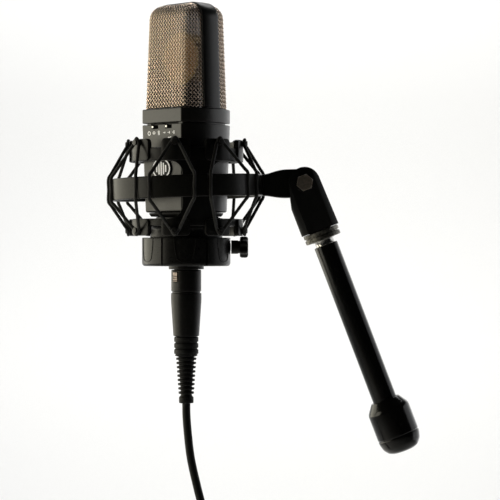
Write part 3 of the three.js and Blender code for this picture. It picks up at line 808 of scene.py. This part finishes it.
def woven(sign):
    """Half of the head's wire cloth: two families of crimped diagonal wires."""
    root = math.sqrt(0.5)
    half_step = PITCH / 2
    verts, faces = [], []
    start = 0
    corners = [(-REACH, CLOTH_FOOT), (REACH, CLOTH_FOOT), (REACH, CLOTH_TOP), (-REACH, CLOTH_TOP)]
    rising = [(p + q) * root for p, q in corners]
    falling = [(q - p) * root for p, q in corners]
    for along, across, side in ((rising, falling, 1), (falling, rising, -1)):
        for index in range(math.ceil(min(across) / PITCH), math.floor(max(across) / PITCH) + 1):
            s = np.arange(math.ceil(min(along) / half_step), math.floor(max(along) / half_step) + 1)
            t = s * half_step
            fixed = np.full_like(t, index * PITCH)
            u, v = (t, fixed) if side > 0 else (fixed, t)
            p, q = (u - v) * root, (u + v) * root
            keep = (p > -REACH) & (p < REACH) & (q > CLOTH_FOOT) & (q < CLOTH_TOP)
            if keep.sum() < 2:
                continue
            p, q, s = p[keep], q[keep], s[keep]
            phase = np.cos(math.pi * (s / 2 + index)) * side
            centre = smooth_head(p, q, CLOTH_INSET, sign)
            out = np.cross(smooth_head(p + 0.1, q, CLOTH_INSET, sign) - centre,
                           smooth_head(p, q + 0.1, CLOTH_INSET, sign) - centre)
            out *= -sign
            out /= np.maximum(np.linalg.norm(out, axis=1, keepdims=True), 1e-9)
            centre = centre + out * (WIRE * 0.95 * phase)[:, None]
            way = np.gradient(centre, axis=0)
            way /= np.linalg.norm(way, axis=1, keepdims=True)
            flank = np.cross(way, out)
            count = len(p)
            base = start + np.arange(count - 1)
            for k in range(WIRE_SIDES):
                a = TAU * (k + 0.5) / WIRE_SIDES
                verts.append(centre + WIRE * (math.cos(a) * out + math.sin(a) * flank))
                one, two = k * count + base, (k + 1) % WIRE_SIDES * count + base
                faces.append(np.stack([one, one + 1, two + 1, two], axis=1))
            start += WIRE_SIDES * count
    return np.concatenate(verts), np.concatenate(faces)


def gauze(sign):
    """The fine inner screen behind the wire cloth."""
    columns, rows = 90, 60
    p, q = np.meshgrid(np.linspace(-REACH, REACH, columns), np.linspace(CLOTH_FOOT, CLOTH_TOP, rows))
    verts = smooth_head(p.ravel(), q.ravel(), GAUZE_INSET, sign)
    faces = [(r * columns + c, r * columns + c + 1, (r + 1) * columns + c + 1, (r + 1) * columns + c)
             for r in range(rows - 1) for c in range(columns - 1)]
    return verts, np.array(faces)


def head_frame():
    """The arched band between the two halves of the wire cloth."""
    stations = [("rise", z) for z in (COLLAR_TOP + 0.05, 96, 104, 112, 120, 128, 136, SHOULDER)]
    stations += [("turn", 90 * k / 12) for k in range(1, 13)]

    def at(kind, value, inset, y):
        round_radius = DOME - inset
        angle = math.radians(value) if kind == "turn" else 0
        z = value if kind == "rise" else SHOULDER + round_radius * math.sin(angle)
        edge = inset + round_radius * (1 - math.cos(angle)) + HEAD_LEAN * (z - COLLAR_TOP)
        centre, r, _ = side_arc(HEAD, edge)
        return Vector((centre + math.sqrt(r * r - y * y), y, z))

    corners = [(-BAND, 2.4, 0.2), (-BAND, -0.6, 0.8), (BAND, -0.6, 0.8), (BAND, 2.4, 0.2)]
    section = divided(rounded(corners, 0.8, closed=True), lambda length: max(1, int(length / 1.8)))
    right = [[at(kind, value, p.y, p.x) for p in section] for kind, value in stations]
    left = [[Vector((-v.x, v.y, v.z)) for v in row] for row in reversed(right)]
    return blades(right + left)


def make_head():
    for name, sign in (("front", -1), ("rear", 1)):
        piece_of_arrays(f"wire_cloth_{name}", woven(sign), "mesh", [f"grille_{name}"])
        piece_of_arrays(f"inner_screen_{name}", gauze(sign), "gauze")
    piece("head_band", head_frame(), "frame", "microphone", MIC, ["head_frame"])


CAPSULE_Z = 124


def make_capsule():
    face = MIC @ shift(0, 0, CAPSULE_Z) @ rotation(90, "X")
    rim = [(14.5, -5), (17, -5), (17, -1.2), (16.6, -0.9), (16.6, 0.9), (17, 1.2), (17, 5), (14.5, 5)]
    ring = turned_ring(rim, 0.35, 72)
    screw = turned([(0, 4.9), (0.85, 4.9), (0.85, 5.35), (0.35, 5.35), (0.3, 5.2), (0, 5.2)], 0.1, 10)
    for k in range(12):
        angle = TAU * k / 12
        for flip in (180, 0):
            spot = shift(15.75 * math.cos(angle), 15.75 * math.sin(angle), 0)
            ring.add(screw, rotation(flip, "X") @ spot)
    piece("capsule_rim", ring, "brass", "microphone", face, ["capsule_ring"])
    plate = cylinder(14.2, -3.4, 3.4, 0.3, 48)
    piece("capsule_plate", plate, "brass", "microphone", face, ["capsule_backplate"])
    film = [(0, 3.8), (14.2, 3.8), (14.2, 4.2), (13.2, 4.25), (12.6, 4.05), (3.2, 4.0), (2.6, 4.4),
            (1.2, 4.5), (0.9, 4.2), (0, 4.2)]
    for name, flip in (("front", 0), ("rear", 180)):
        piece(f"film_{name}", turned(film, 0.2, 60), "gold", "microphone", face @ rotation(flip, "X"),
              [f"diaphragm_{name}"])
    saddle = box(-8, 8, -4.5, 4.5, COLLAR_TOP + 0.3, 112)
    seat = cylinder(17.3, -9, 9).moved(shift(0, 0, CAPSULE_Z) @ rotation(90, "X"))
    piece("capsule_cradle", bolted(saddle, seat), "inner", "microphone", MIC,
          ["capsule_saddle"], bevel=0.5)


# ---- Cradle, clamp cup and screw ----

HOOKS = [-54 + 45 * i for i in range(8)]
HOOK_UP, HOOK_LOW = 68.6, 12.6
CRADLE_IN, CRADLE_OUT = 30.4, 35.6
BAND_LOW, BAND_HIGH = 20.1, 56.8  # the lower band's top and the upper band's foot
PEG_R = 1.5


def bent_tab(angle, low, high):
    """A plate with rounded corners, bent round the axis; s runs round it."""
    half, near, far, corner = 9, 33.6, 37, 2.4
    stations = []
    for k in range(7):
        turn = math.radians(90 * k / 6)
        stations.append((-half + corner * (1 - math.cos(turn)), corner * (1 - math.sin(turn))))
    stations += [(s, 0.0) for s in np.linspace(-half + corner, half - corner, 9)[1:-1]]
    stations += [(-s, drop) for s, drop in reversed(stations[:7])]
    sections = []
    for k, (s, drop) in enumerate(stations):
        shrink = 0.55 if k in (0, len(stations) - 1) else 0
        r0, r1, z0, z1 = near + shrink, far - shrink, low + drop, high - drop
        section = rounded([(r0, z0), (r1, z0), (r1, z1), (r0, z1)], 0.7, 3, closed=True)
        round_by = math.degrees(s / ((near + far) / 2))
        sections.append([around(p.x, angle + round_by, p.y) for p in section])
    return blades(sections)


def bent_rib(angle):
    """The upright between the two bands, with large fillets at both ends."""
    half, soft, inner, middle = 9.3, 8, 31.2, 33.4
    turns = [math.radians(15 * k) for k in range(1, 7)]
    stations = [(BAND_LOW - 1.2, half + soft), (BAND_LOW, half + soft)]
    stations += [(BAND_LOW + soft * (1 - math.cos(a)), half + soft * (1 - math.sin(a))) for a in turns]
    stations += [(BAND_LOW + BAND_HIGH - z, w) for z, w in reversed(stations)]
    sections = []
    for z, w in stations:
        corners = [(-w, inner, 0.6), (-w, CRADLE_OUT, 0.8), (w, CRADLE_OUT, 0.8), (w, inner, 0.6)]
        outline = divided(rounded(corners, 0.8, 3, closed=True), lambda length: 10 if length > 8 else 1)
        sections.append([around(p.y, angle + math.degrees(p.x / middle), z) for p in outline])
    return blades(sections)


def make_cradle():
    cradle = sleeve(CRADLE_IN, CRADLE_OUT, BAND_HIGH, 65.3, 0.9, 120)
    lower = [(20.4, 15.3), (20.4, 5.4), (23.5, 5.4), (23.5, 13.5, 1.5), (25, 15.3), (CRADLE_OUT, 15.3),
             (CRADLE_OUT, BAND_LOW), (20.4, BAND_LOW)]
    cradle.add(turned_ring(lower, 0.8, 120))
    for angle in (13.5, 193.5):
        cradle.add(bent_rib(angle))
    peg = turned([(0, 36), (2.3, 36), (2.3, 37.2), (PEG_R, 37.5), (PEG_R, 39.2), (1.9, 39.4), (1.9, 40.2),
                  (0, 40.2)], 0.25, 24)
    for angle in HOOKS:
        cradle.add(bent_tab(angle, 56.9, 71))
        cradle.add(bent_tab(angle, 9.1, 20.0))
        for z in (HOOK_UP, HOOK_LOW):
            cradle.add(peg, rotation(angle, "Z") @ shift(0, 0, z) @ rotation(90, "X"))
    piece("cradle_frame", cradle, "cradle", "suspended_cradle", RIG, ["cradle"])


CUP_OUT = 28.7
SLITS = (-31, 29, 149, 209, 269)
SIDEWAYS = shift(0, 0, 1.9) @ rotation(90, "Y")


def slit_radius(r, z, angle):
    """The cup's outside with its upright slits."""
    return r - 1.1 if r > 28 and abs(angle_off(math.degrees(angle), SLITS)) < 1.2 else r


def lobes(r, z, angle):
    """The hand screw's six finger hollows."""
    return r * (1 - 0.7 / 6.2 * math.cos(6 * angle) * (1 if r > 4.5 else 0))


def make_clamp():
    profile = [(12, -10.4), (27.7, -10.4, 1.2), (CUP_OUT, -9, 0.9), (CUP_OUT, 8), (23.8, 8), (23.8, 5.1, 0.1),
               (22, 5.1, 0.1), (22, -8.1), (12, -8.1)]
    edges = [slit + d for slit in SLITS for d in (-1.3, -1.1, -0.8, 0.8, 1.1, 1.3)]
    angles = sorted(math.radians(a % 360) for a in [3 * k for k in range(120)] + edges)
    cup = turned_ring(profile, 0.6, radius_at=slit_radius, angles=angles)
    hole = cylinder(2.8, 18, 33, 0, 24).moved(SIDEWAYS)
    piece("cup", bolted(cup, hole), "cup", "suspended_cradle", RIG, ["clamp_cup"])

    # Six tongues are outlined on the cup's outside
    ribs = Shape()
    drops = [d / 8 for d in range(9)]
    for k in range(6):
        path = []
        for side, drop in [(-1, drop) for drop in drops] + [(1, drop) for drop in drops[::-1]]:
            width = 13.5 - 5 * drop ** 2 if drop < 1 else 4
            path.append(around(CUP_OUT + 0.05, 60 * k + side * width, 7.4 - 15.4 * drop + (0.6 * drop ** 6)))
        ribs.add(swept(spline(path, 3), 0.32, 6))
    piece("cup_ribs", ribs, "cup", "suspended_cradle", RIG)
    liner = bolted(sleeve(20, 21.7, -7.8, 4.8, 0.2, 96), box(-60, 0, -2, 2, -20, 20))
    piece("cup_liner", liner, "boot", "suspended_cradle", RIG, ["clamp_liner"])

    shaft = [(0, 22), (2.2, 22), (2.5, 22.4)]
    for k in range(9):
        shaft += [(2.5, 22.9 + k * 0.6), (2.2, 23.2 + k * 0.6)]
    shaft += [(2.5, 28.5), (2.3, 28.9), (0, 28.9)]
    piece("screw_shaft", turned(shaft, 0.08, 32, 2), "steel", "thumb_screw", RIG @ SIDEWAYS,
          ["thumb_screw_shaft"])
    head = [(0, 34.8), (5.6, 34.8, 0.8), (6.2, 35.8, 0.6), (6.2, 39.2, 1.0), (5.3, 40.2, 0.8),
            (3.4, 40.2, 0.4), (3.1, 39.9, 0.3), (0, 39.9)]
    neck = [(0, 29.2), (4.4, 29.2), (4.4, 33.4, 0.3), (4.1, 33.7, 0.3), (4.1, 36), (0, 36)]
    knob = turned(head, 0.8, 96, radius_at=lobes).add(turned(neck, 0.3, 48))
    piece("hand_knob", knob, "knob", "thumb_screw", RIG @ SIDEWAYS, ["thumb_screw_knob"])


# ---- Suspension ring and its elastics ----

GROOVE_TURN = 16.5
GROOVES = sorted((angle + side * GROOVE_TURN) % 360 for angle in HOOKS for side in (-1, 1))
RING_IN, RING_OUT, RING_HALF = 47, 50, 7
RIM_R, GROOVE_R = 50.4, 1.5  # where the elastics' middle crosses the ring, and their groove
ELASTIC_R, HOOK_R = 1.15, 38.4


def ring_radius(r, z, angle):
    """The ring's outside with the upright grooves that hold the elastics."""
    off = math.radians(angle_off(math.degrees(angle), GROOVES))
    side = RIM_R * math.sin(off)
    if r < 49 or abs(side) >= GROOVE_R:
        return r
    return min(r, RIM_R * math.cos(off) - math.sqrt(GROOVE_R ** 2 - side ** 2))


def groove_angles():
    """Steps round the ring, close together at each groove."""
    reach = math.degrees(math.asin(GROOVE_R / RIM_R))
    angles = [g + reach * k / 5 for g in GROOVES for k in range(-5, 6)]
    angles += [3 * k for k in range(120) if abs(angle_off(3 * k, GROOVES)) > reach + 0.6]
    angles += [g + side * (reach + 0.25) for g in GROOVES for side in (-1, 1)]
    return sorted(math.radians(a % 360) for a in angles)


def make_ring():
    profile = [(RING_IN, -RING_HALF), (RING_OUT, -RING_HALF), (RING_OUT, RING_HALF), (RING_IN, RING_HALF)]
    band = turned_ring(profile, 0.8, radius_at=ring_radius, angles=groove_angles())
    piece("suspension_ring", band, "ring", "arm", RING, ["outer_ring"])

    bolt = Matrix.Rotation(RING_TILT, 4, "Y") @ (RIG.inverted() @ BOLT - Vector((0, 0, RING_CENTRE)))
    root, shoulder, neck, end = 48, 52, 61.5, 9.25
    outline = [(root, -RING_HALF, 0), (shoulder, -RING_HALF, 3), (neck, bolt.z - end, 4)]
    outline += [(x, z, 0) for x, z in arc(bolt.x, bolt.z, end, -90, 90, 24)]
    outline += [(neck, bolt.z + end, 4), (shoulder, RING_HALF, 3), (root, RING_HALF, 0)]
    blade = upright(rounded(outline, 1, 6, closed=True), -4.6, 4.6)
    blade = bolted(blade, upright(circle(bolt.x, bolt.z, 3.3, 48), -20, 20))
    piece("ring_arm", blade, "ring", "arm", RING, ["outer_ring"], bevel=0.7)


def elastic_path(angle):
    """One elastic's loop: over the top peg, down a groove, under the bottom peg and up the other groove."""
    bend = PEG_R + ELASTIC_R
    side_way = around(1, angle + 90, 0)

    def rim(side, dz):
        place = around(RIM_R, angle + side * GROOVE_TURN, 0)
        place.z = RING_CENTRE + place.x * math.tan(RING_TILT) + dz
        return place

    def hook(side, z, dz):
        return around(HOOK_R, angle, z + dz) + side_way * (side * bend)

    upper = [hook(-1, HOOK_UP, -0.6), hook(0, HOOK_UP, bend), hook(1, HOOK_UP, -0.6)]
    lower = [hook(1, HOOK_LOW, 0.6), hook(0, HOOK_LOW, -bend), hook(-1, HOOK_LOW, 0.6)]
    right, left = [[rim(side, dz) for dz in (7.6, 0, -7.6)] for side in (1, -1)]
    path = []
    for run, following in ((upper, right), (right, lower), (lower, left[::-1]), (left[::-1], upper)):
        path += run + [run[-1].lerp(following[0], part) for part in (0.14, 0.86)]
    return path


def weave(radius, run, angle):
    """Braid relief on an elastic's skin."""
    return radius * (0.955 + 0.045 * math.cos(run * 3.4 + 4 * angle) * math.cos(run * 3.4 - 4 * angle))


def make_elastics():
    per_span = 14
    for i, angle in enumerate(HOOKS):
        loop = spline(elastic_path(angle), per_span, closed=True)
        right, left = 6 * per_span, 16 * per_span
        halves = {"upper": loop[left:] + loop[:right + 1], "lower": loop[right:left + 1]}
        for half, path in halves.items():
            fine = [a.lerp(b, k / 2) for a, b in zip(path, path[1:]) for k in range(2)] + [path[-1]]
            cordlet = swept(fine, ELASTIC_R, 12, weave)
            thing = piece(f"elastic_{i + 1}_{half}", cordlet, "braid", None, RIG)
            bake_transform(thing)
            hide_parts(f"elastic_{i + 1}")


# ---- Swivel and boom; the boom's frame has the bolt at height zero and runs down along -Z ----

ACROSS = shift(BOLT_OFFSET, 0, 0) @ rotation(90, "X")
HEX_HALF = 5.6 * math.cos(math.radians(30))


def hexagonal(r, z, angle):
    """Limits a turned bolt head or nut to six flats."""
    step = math.radians(60)
    return min(r, HEX_HALF / math.cos((angle + step / 2) % step - step / 2))


def make_swivel():
    cheeks = [(-12.5, -32.2), (12.5, -32.2), (BOLT_OFFSET + 10.2, 1)]
    cheeks += arc(BOLT_OFFSET, 0, 10.2, 5.7, 165.7, 40) + [(-12.5, -13)]
    solid = bolted(upright(cheeks, -11.5, 11.5), cylinder(14.2, -32.2, 15, 0, 96), mode="INTERSECT")
    slot = box(-60, 60, -5.9, 5.9, -11.2, 60)
    hole = cylinder(3.3, -30, 30, 0, 40).moved(ACROSS)
    fork = bolted(solid, slot, hole, cylinder(9.4, -40, -14.2))
    piece("swivel_fork", fork, "swivel", "swivel", BOOM, ["clevis"], bevel=0.45)
    insert = sleeve(8.2, 9.1, -32.2, -15.5, 0.15)
    piece("insert", insert, "brass", "swivel", BOOM, ["thread_insert"])

    across = BOOM @ ACROSS
    bolt = turned([(0, 12.5), (5.6, 12.5), (5.6, 15.5), (4.9, 16), (0, 16)], 0.12, 72, radius_at=hexagonal)
    bolt.add(turned([(0, -16.5), (2.6, -16.5), (3, -16.1), (3, 13), (0, 13)], 0.1, 40))
    piece("bolt", bolt, "bronze", "swivel", across, ["swivel_bolt"])
    nut = [(3.3, -16), (4.9, -16), (5.6, -15.5), (5.6, -13), (4.9, -12.5), (3.3, -12.5)]
    piece("nut", turned_ring(nut, 0.12, 72, radius_at=hexagonal), "bronze", "swivel", across,
          ["swivel_nut"])
    for side, sign in (("front", 1), ("rear", -1)):
        pad = sleeve(3.3, 8.6, -0.35, 0.35, 0.12)
        piece(f"friction_pad_{side}", pad, "inner", "swivel", across @ shift(0, 0, sign * 5.25),
              [f"friction_washer_{side}"])
        washer = sleeve(3.3, 6.4, -0.2, 0.2, 0.08)
        piece(f"washer_{side}", washer, "swivel", "swivel", across @ shift(0, 0, sign * 12.05),
              [f"bolt_washer_{side}"])


def knurl(r, z, angle):
    """Diamond knurling on the lock ring's two flanges."""
    if r < 11.5:
        return r
    turn = 46 * angle
    return r - 0.16 * (1 - abs(math.cos(turn / 2 + z * 3.1)) * abs(math.cos(turn / 2 - z * 3.1)))


def flange(low, high):
    return [(11.85, low + (high - low) * k / 5) for k in range(6)]


def make_boom():
    profile = [(8.2, -38.7), (10.9, -38.7), *flange(-38.3, -36), (10.9, -35.8), (10.9, -35.1)]
    profile += [*flange(-34.9, -32.7), (10.9, -32.4), (8.2, -32.4)]
    ring = turned_ring(profile, 0.08, 276, 2, radius_at=knurl)
    piece("jam_ring_flanges", ring, "nickel", "jam_ring", BOOM, ["lock_ring"])

    stud = [(0, -16), (7, -16), (7.9, -17)]
    for k in range(16):
        stud += [(7.9, -17.6 - k * 1.27), (7.2, -18.2 - k * 1.27)]
    stud += [(7.9, -37.6), (7.9, -39), (6.35, -39.2, 0.1), (6.35, -42, 0.1), (6.7, -42.2), (6.7, -58),
             (0, -58)]
    piece("threaded_stud", turned(stud, 0.12, 72, 2), "steel", "boom", BOOM, ["boom_stud"])
    tube = turned_ring([(7, -164.6), (7.85, -164.6), (7.85, -42.7), (7.45, -42.3), (7, -42.3)], 0.25, 96)
    piece("tube", tube, "tube", "boom", BOOM, ["boom_tube"])

    end = -185
    foot = [(13.8, 11.2, 0.1), (13.5, 10.8, 0.1), (13.5, 10.2, 0.1), (13.8, 9.8, 0.1), (13.7, 8.4, 1.5),
            (12.6, 4.2, 1.5), (10.2, 1.2, 1.2), (7.5, 0, 0.4)]
    fitting = [(0, -165), (8.15, -165), (8.15, -150), (9.3, -150, 0.3), (9.6, -150.3, 0.3),
               (13.2, -155.4, 1.0), (13.8, -157, 0.8)]
    fitting += [(r, end + rise, soft) for r, rise, soft in foot] + [(0, end)]
    fitting = turned(fitting, 0.4, 120)
    piece("boom_end_fitting", fitting, "tube", "boom", BOOM, ["boom_fitting"])


# ---- Connector, plug, strain reliefs and far plug ----

PIN_PLACES = [around(3.6, angle, 0) for angle in (-60, 60, 180)]


def pins(holder, low, high):
    """Adds the connector's three pins to a shape."""
    pin = turned([(0, low), (0.7, low), (1.2, low + 0.8), (1.2, high), (0, high)], 0.2, 24)
    for place in PIN_PLACES:
        holder.add(pin, Matrix.Translation(place))
    return holder


def boot(start, end):
    """Strain relief: three wide rings, a waist with ribs that narrow, and an end collar."""
    way = 1 if end > start else -1
    rows = [(0, 0), (7.2, 0), (7.9, 0.5)]
    for k in range(3):
        s = 0.5 + k * 3.9
        rows += [(7.9, s + 0.2), (7.9, s + 2.6), (7.5, s + 2.8), (7.1, s + 3.0), (7.1, s + 3.4),
                 (7.5, s + 3.7)]
    rows += [(6.7, 12.6), (5.2, 13.0)]
    for k in range(9):
        s = 13.4 + k * 2.75
        wide = 6.6 - 1.55 * k / 8
        rows += [(wide - 1.5, s), (wide - 0.2, s + 0.25), (wide, s + 0.5), (wide, s + 1.35),
                 (wide - 0.2, s + 1.6), (wide - 1.5, s + 1.85)]
    rows += [(4.0, 38.6), (4.75, 39.2), (4.75, 42.6), (4.4, 43.1), (0, 43.1)]
    return turned([(r, start + way * s) for r, s in rows], 0.12, 64, 2)


def make_connector():
    shell = turned([(0, 6), (11.4, 6), (11.4, -12.5), (8.3, -12.5), (8.3, 3), (0, 3)], 0.3, 96)
    piece("socket_shell", shell, "plug", "microphone", MIC, ["connector_shell"])
    insert = cylinder(8, -0.3, 2.7, 0.2)
    piece("socket_insert", insert, "inner", "microphone", MIC)
    contacts = pins(Shape(), -10.4, -0.6)
    piece("socket_pins", contacts, "gold", "microphone", MIC, ["connector_insert"])


def make_plug():
    rows = [(6.9, -1.2), (7.9, -1.2), (7.9, -12.8, 0.1), (9.3, -12.8), (9.75, -13.3), (9.75, -26.4),
            (9.5, -26.8, 0.1), (9.1, -26.9, 0.1), (9.1, -27.9, 0.1), (9.7, -28, 0.1), (9.9, -28.3),
            (9.9, -33, 1.5), (8.4, -55.6, 0.5), (7.9, -56), (6.9, -56)]
    window = box(-2.5, 2.5, -12, -5, -20.9, -13.9)
    shell = bolted(turned_ring(rows, 0.25, 120), window)
    piece("plug_sleeve", shell, "plug", "microphone", MIC, ["plug_shell"])
    latch = box(-2.1, 2.1, -10.1, -8.3, -20.5, -14.3)
    piece("latch", latch, "latch", "latch_button", MIC, ["plug_latch"], bevel=0.25)
    grips = Shape()
    for k in range(3):
        grips.add(box(-1.8, 1.8, -10.3, -10.0, -19.8 + k * 1.3, -19.3 + k * 1.3))
    piece("latch_grips", grips, "knob", "latch_button", MIC, bevel=0.08)
    holes = [cylinder(1.5, -11.4, 0, 0, 24).moved(Matrix.Translation(place)) for place in PIN_PLACES]
    insert = bolted(cylinder(6.6, -24, -1.5, 0.3), *holes)
    piece("plug_core", insert, "inner", "microphone", MIC, ["plug_insert"])
    piece("plug_relief", boot(-56.3, -99.4), "boot", "microphone", MIC, ["plug_boot"])


def make_far_plug():
    place = RIG @ Matrix.Translation(FAR)
    relief = piece("far_relief", boot(-43.1, 0), "boot", "microphone", place,
                   ["far_plug_boot"])
    rows = [(0, -44), (7.5, -44), (8, -44.4), (8.6, -46, 1), (9.5, -61.6, 0.3), (9.5, -62, 0.1),
            (9.1, -62.2, 0.1), (9.1, -63, 0.1), (9.6, -63.2, 0.1), (9.6, -84), (8.4, -84), (8.4, -70),
            (0, -70)]
    shell = piece("far_shell", turned(rows, 0.25, 96), "plug", "microphone", place,
                  ["far_plug_shell"])
    contacts = pins(cylinder(8.1, -74, -70.3, 0.2), -82, -72)
    contacts = piece("far_contacts", contacts, "gold", "microphone", place,
                     ["far_plug_contacts"])
    return [relief, shell, contacts]


# ---- Cord: a hanging stretch, then a tied hank, then the far plug. Millimetres in the rig. ----

CORD_R, CORD_LENGTH = 2.75, 2.7
COIL_X, COIL_Z, COIL_MEAN, COIL_HALF = 7.0, -237.0, 33.0, 11.3
ROUTE = [(0, 0, -99.7), (0.1, 0, -107), (0.7, 0, -115.6), (1.6, 0, -125), (2.8, 0, -134.4),
         (4.4, 0, -142.5), (6.3, 0, -150.6), (8.5, -0.3, -159.5), (10.8, -1.2, -167.5),
         (13.8, -2.8, -175), (18.2, -5.2, -182.4), (23.2, -7.4, -189.2), (28.1, -8.5, -195.2)]
FAR = Vector((COIL_X + COIL_MEAN + COIL_HALF - CORD_R, COIL_HALF - CORD_R, COIL_Z - 28))
SPACING = 5.6


def ease(t):
    t = min(1, max(0, t))
    return t * t * (3 - 2 * t)


def hank():
    """Turns in four columns of four layers, wound in, out, in and out again."""
    first, change = 150, 100
    outermost = COIL_MEAN + 1.5 * SPACING
    enter, total = 35, 35 + 12 * 360
    moves = (1, 1, 1, -1, -1, -1) * 2
    points = []
    steps = int(total / 6)
    for k in range(steps + 1):
        w = total * k / steps
        layer, column = 0.0, 0.0
        for n, move in enumerate(moves):
            begin = first + 360 * n
            layer += move * ease((w - begin) / change)
        for n in range(1, 4):
            begin = first + 360 * (3 * n - 1) + 180
            column += ease((w - begin) / change)
        r = outermost - SPACING * layer
        angle = math.radians(enter - w)
        y = -1.5 * SPACING + SPACING * column
        points.append(Vector((COIL_X + r * math.cos(angle), y, COIL_Z + r * math.sin(angle))))
    return points


def make_cord():
    turns = hank()
    lead_in = spline([*ROUTE, turns[0], turns[1]], 5)[:-5]
    tail = [Vector((FAR.x, FAR.y, z)) for z in (COIL_Z - 10, FAR.z + 0.5, FAR.z - 6)]
    path = lead_in + turns[1:] + spline([turns[-2], turns[-1], *tail], 5)[6:-5]
    curve = bpy.data.curves.new("lead", "CURVE")
    curve.dimensions = "3D"
    curve.bevel_depth, curve.bevel_resolution = CORD_R * MM, 3
    curve.use_fill_caps = True
    line = curve.splines.new("POLY")
    line.points.add(len(path) - 1)
    for point, place in zip(line.points, path):
        point.co = (*(RIG @ place), 1)
    line.use_smooth = True
    curve.materials.append(LOOKS["rubber"])
    lead = linked("lead", curve)
    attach(lead, "microphone")
    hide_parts("cord_run", "cord_coil", "cord_tail")
    return lead


def make_tie():
    """A hook-and-loop strap round the hank. X is the distance from the hank's centre, Z runs round it."""
    half = 12.75
    middle = Vector((COIL_MEAN, 0))
    corners = [(-half, -half), (half, -half), (half, half), (-half, half)]
    outer = rounded([(COIL_MEAN + x, y) for x, y in corners], 4.2, 8, closed=True)
    sections = []
    edges = ((-6.7, 0), (-7, 0.3), (-7, 0.9), (-6.6, 1.3), (6.6, 1.3), (7, 0.9), (7, 0.3), (6.7, 0))
    for wide, lift in edges:
        lifted = [p + (p - middle).normalized() * (lift - 0.9) for p in outer]
        sections.append([Vector((p.x, p.y, wide)) for p in lifted])
    band = blades(sections + [sections[0]], caps=False)
    place = RIG @ shift(COIL_X, 0, COIL_Z) @ rotation(-100, "Y")
    return piece("strap", band, "strap", "microphone", place, ["coil_tie"])


# ---- Inside the casing ----

def make_inside():
    board = box(-16, 16, 3, 4.6, 28, 72)
    part = cylinder(1.9, 0, 4.5, 0.4, 20)
    for k in range(9):
        x, z = -12 + (k % 3) * 11, 52 + (k // 3) * 6.5
        board.add(part, shift(x, 4.6, z) @ rotation(-90, "X"))
    piece("board", board, "board", "microphone", MIC, ["circuit_board"], bevel=0.15)
    core = box(-9, 9, -12, 2.6, 32, 48)
    piece("transformer", core, "steel", "microphone", MIC, ["output_transformer"], bevel=1.0)


# ---- Studio ----

FLOOR_DROP = 0.65  # metres from the part's foot to the paper


def make_studio():
    """Pale paper that runs along the floor and curves up behind."""
    floor_z = cad_box[0].z - FLOOR_DROP
    back, soft, half = 4.2, 1.4, 9
    profile = [(-half, floor_z)]
    for degrees in range(0, 91, 5):
        a = math.radians(degrees)
        profile.append((back - soft + soft * math.sin(a), floor_z + soft * (1 - math.cos(a))))
    profile.append((back, floor_z + 8))
    count = len(profile)
    verts = [(x, y, z) for x in (-half, half) for y, z in profile]
    faces = [(i, i + count, i + count + 1, i + 1) for i in range(count - 1)]
    mesh = bpy.data.meshes.new("backdrop")
    mesh.from_pydata(verts, [], faces)
    mesh.shade_smooth()
    mesh.materials.append(LOOKS["paper"])
    backdrop = linked("backdrop", mesh)


def softbox(name, azimuth, distance, height, wide, tall, power, color, target=None):
    """An area light: azimuth 0 is the camera's side and 90 is +X."""
    data = bpy.data.lights.new(name, "AREA")
    data.shape, data.size, data.size_y = "RECTANGLE", wide, tall
    data.energy, data.color = power, color
    lamp = linked(name, data)
    centre = Vector((DATUM.x, 0, DATUM.z))
    a = math.radians(azimuth)
    lamp.location = centre + Vector((distance * math.sin(a), -distance * math.cos(a), height))
    aim = (target or centre) - lamp.location
    lamp.rotation_euler = aim.to_track_quat("-Z", "Y").to_euler()
    lamp.visible_camera = False


def light_studio():
    softbox("left_softbox", -100, 1.5, 0.05, 2.6, 1.3, 31, (1.0, 0.95, 0.78))
    softbox("right_softbox", 122, 1.5, 0.05, 2.3, 1.3, 9.5, (0.98, 0.99, 1.0))
    softbox("backdrop_light", 180, 1.9, 2.6, 3.6, 1.2, 152, (1, 1, 1), Vector((DATUM.x, 4.0, 0.0)))
    world = bpy.data.worlds.new("studio")
    world.use_nodes = True
    back = world.node_tree.nodes["Background"]
    back.inputs["Color"].default_value = (1, 1, 1, 1)
    back.inputs["Strength"].default_value = 0.006
    bpy.context.scene.world = world
    bpy.context.scene.view_settings.view_transform = "Standard"


make_camera()
lead = make_cord()
make_studio()
light_studio()
make_casing()
make_switches()
make_prints()
make_badge()
make_head()
make_capsule()
make_inside()
make_cradle()
make_clamp()
make_ring()
make_elastics()
make_swivel()
make_boom()
make_connector()
make_plug()
far_pieces = make_far_plug()
tie = make_tie()
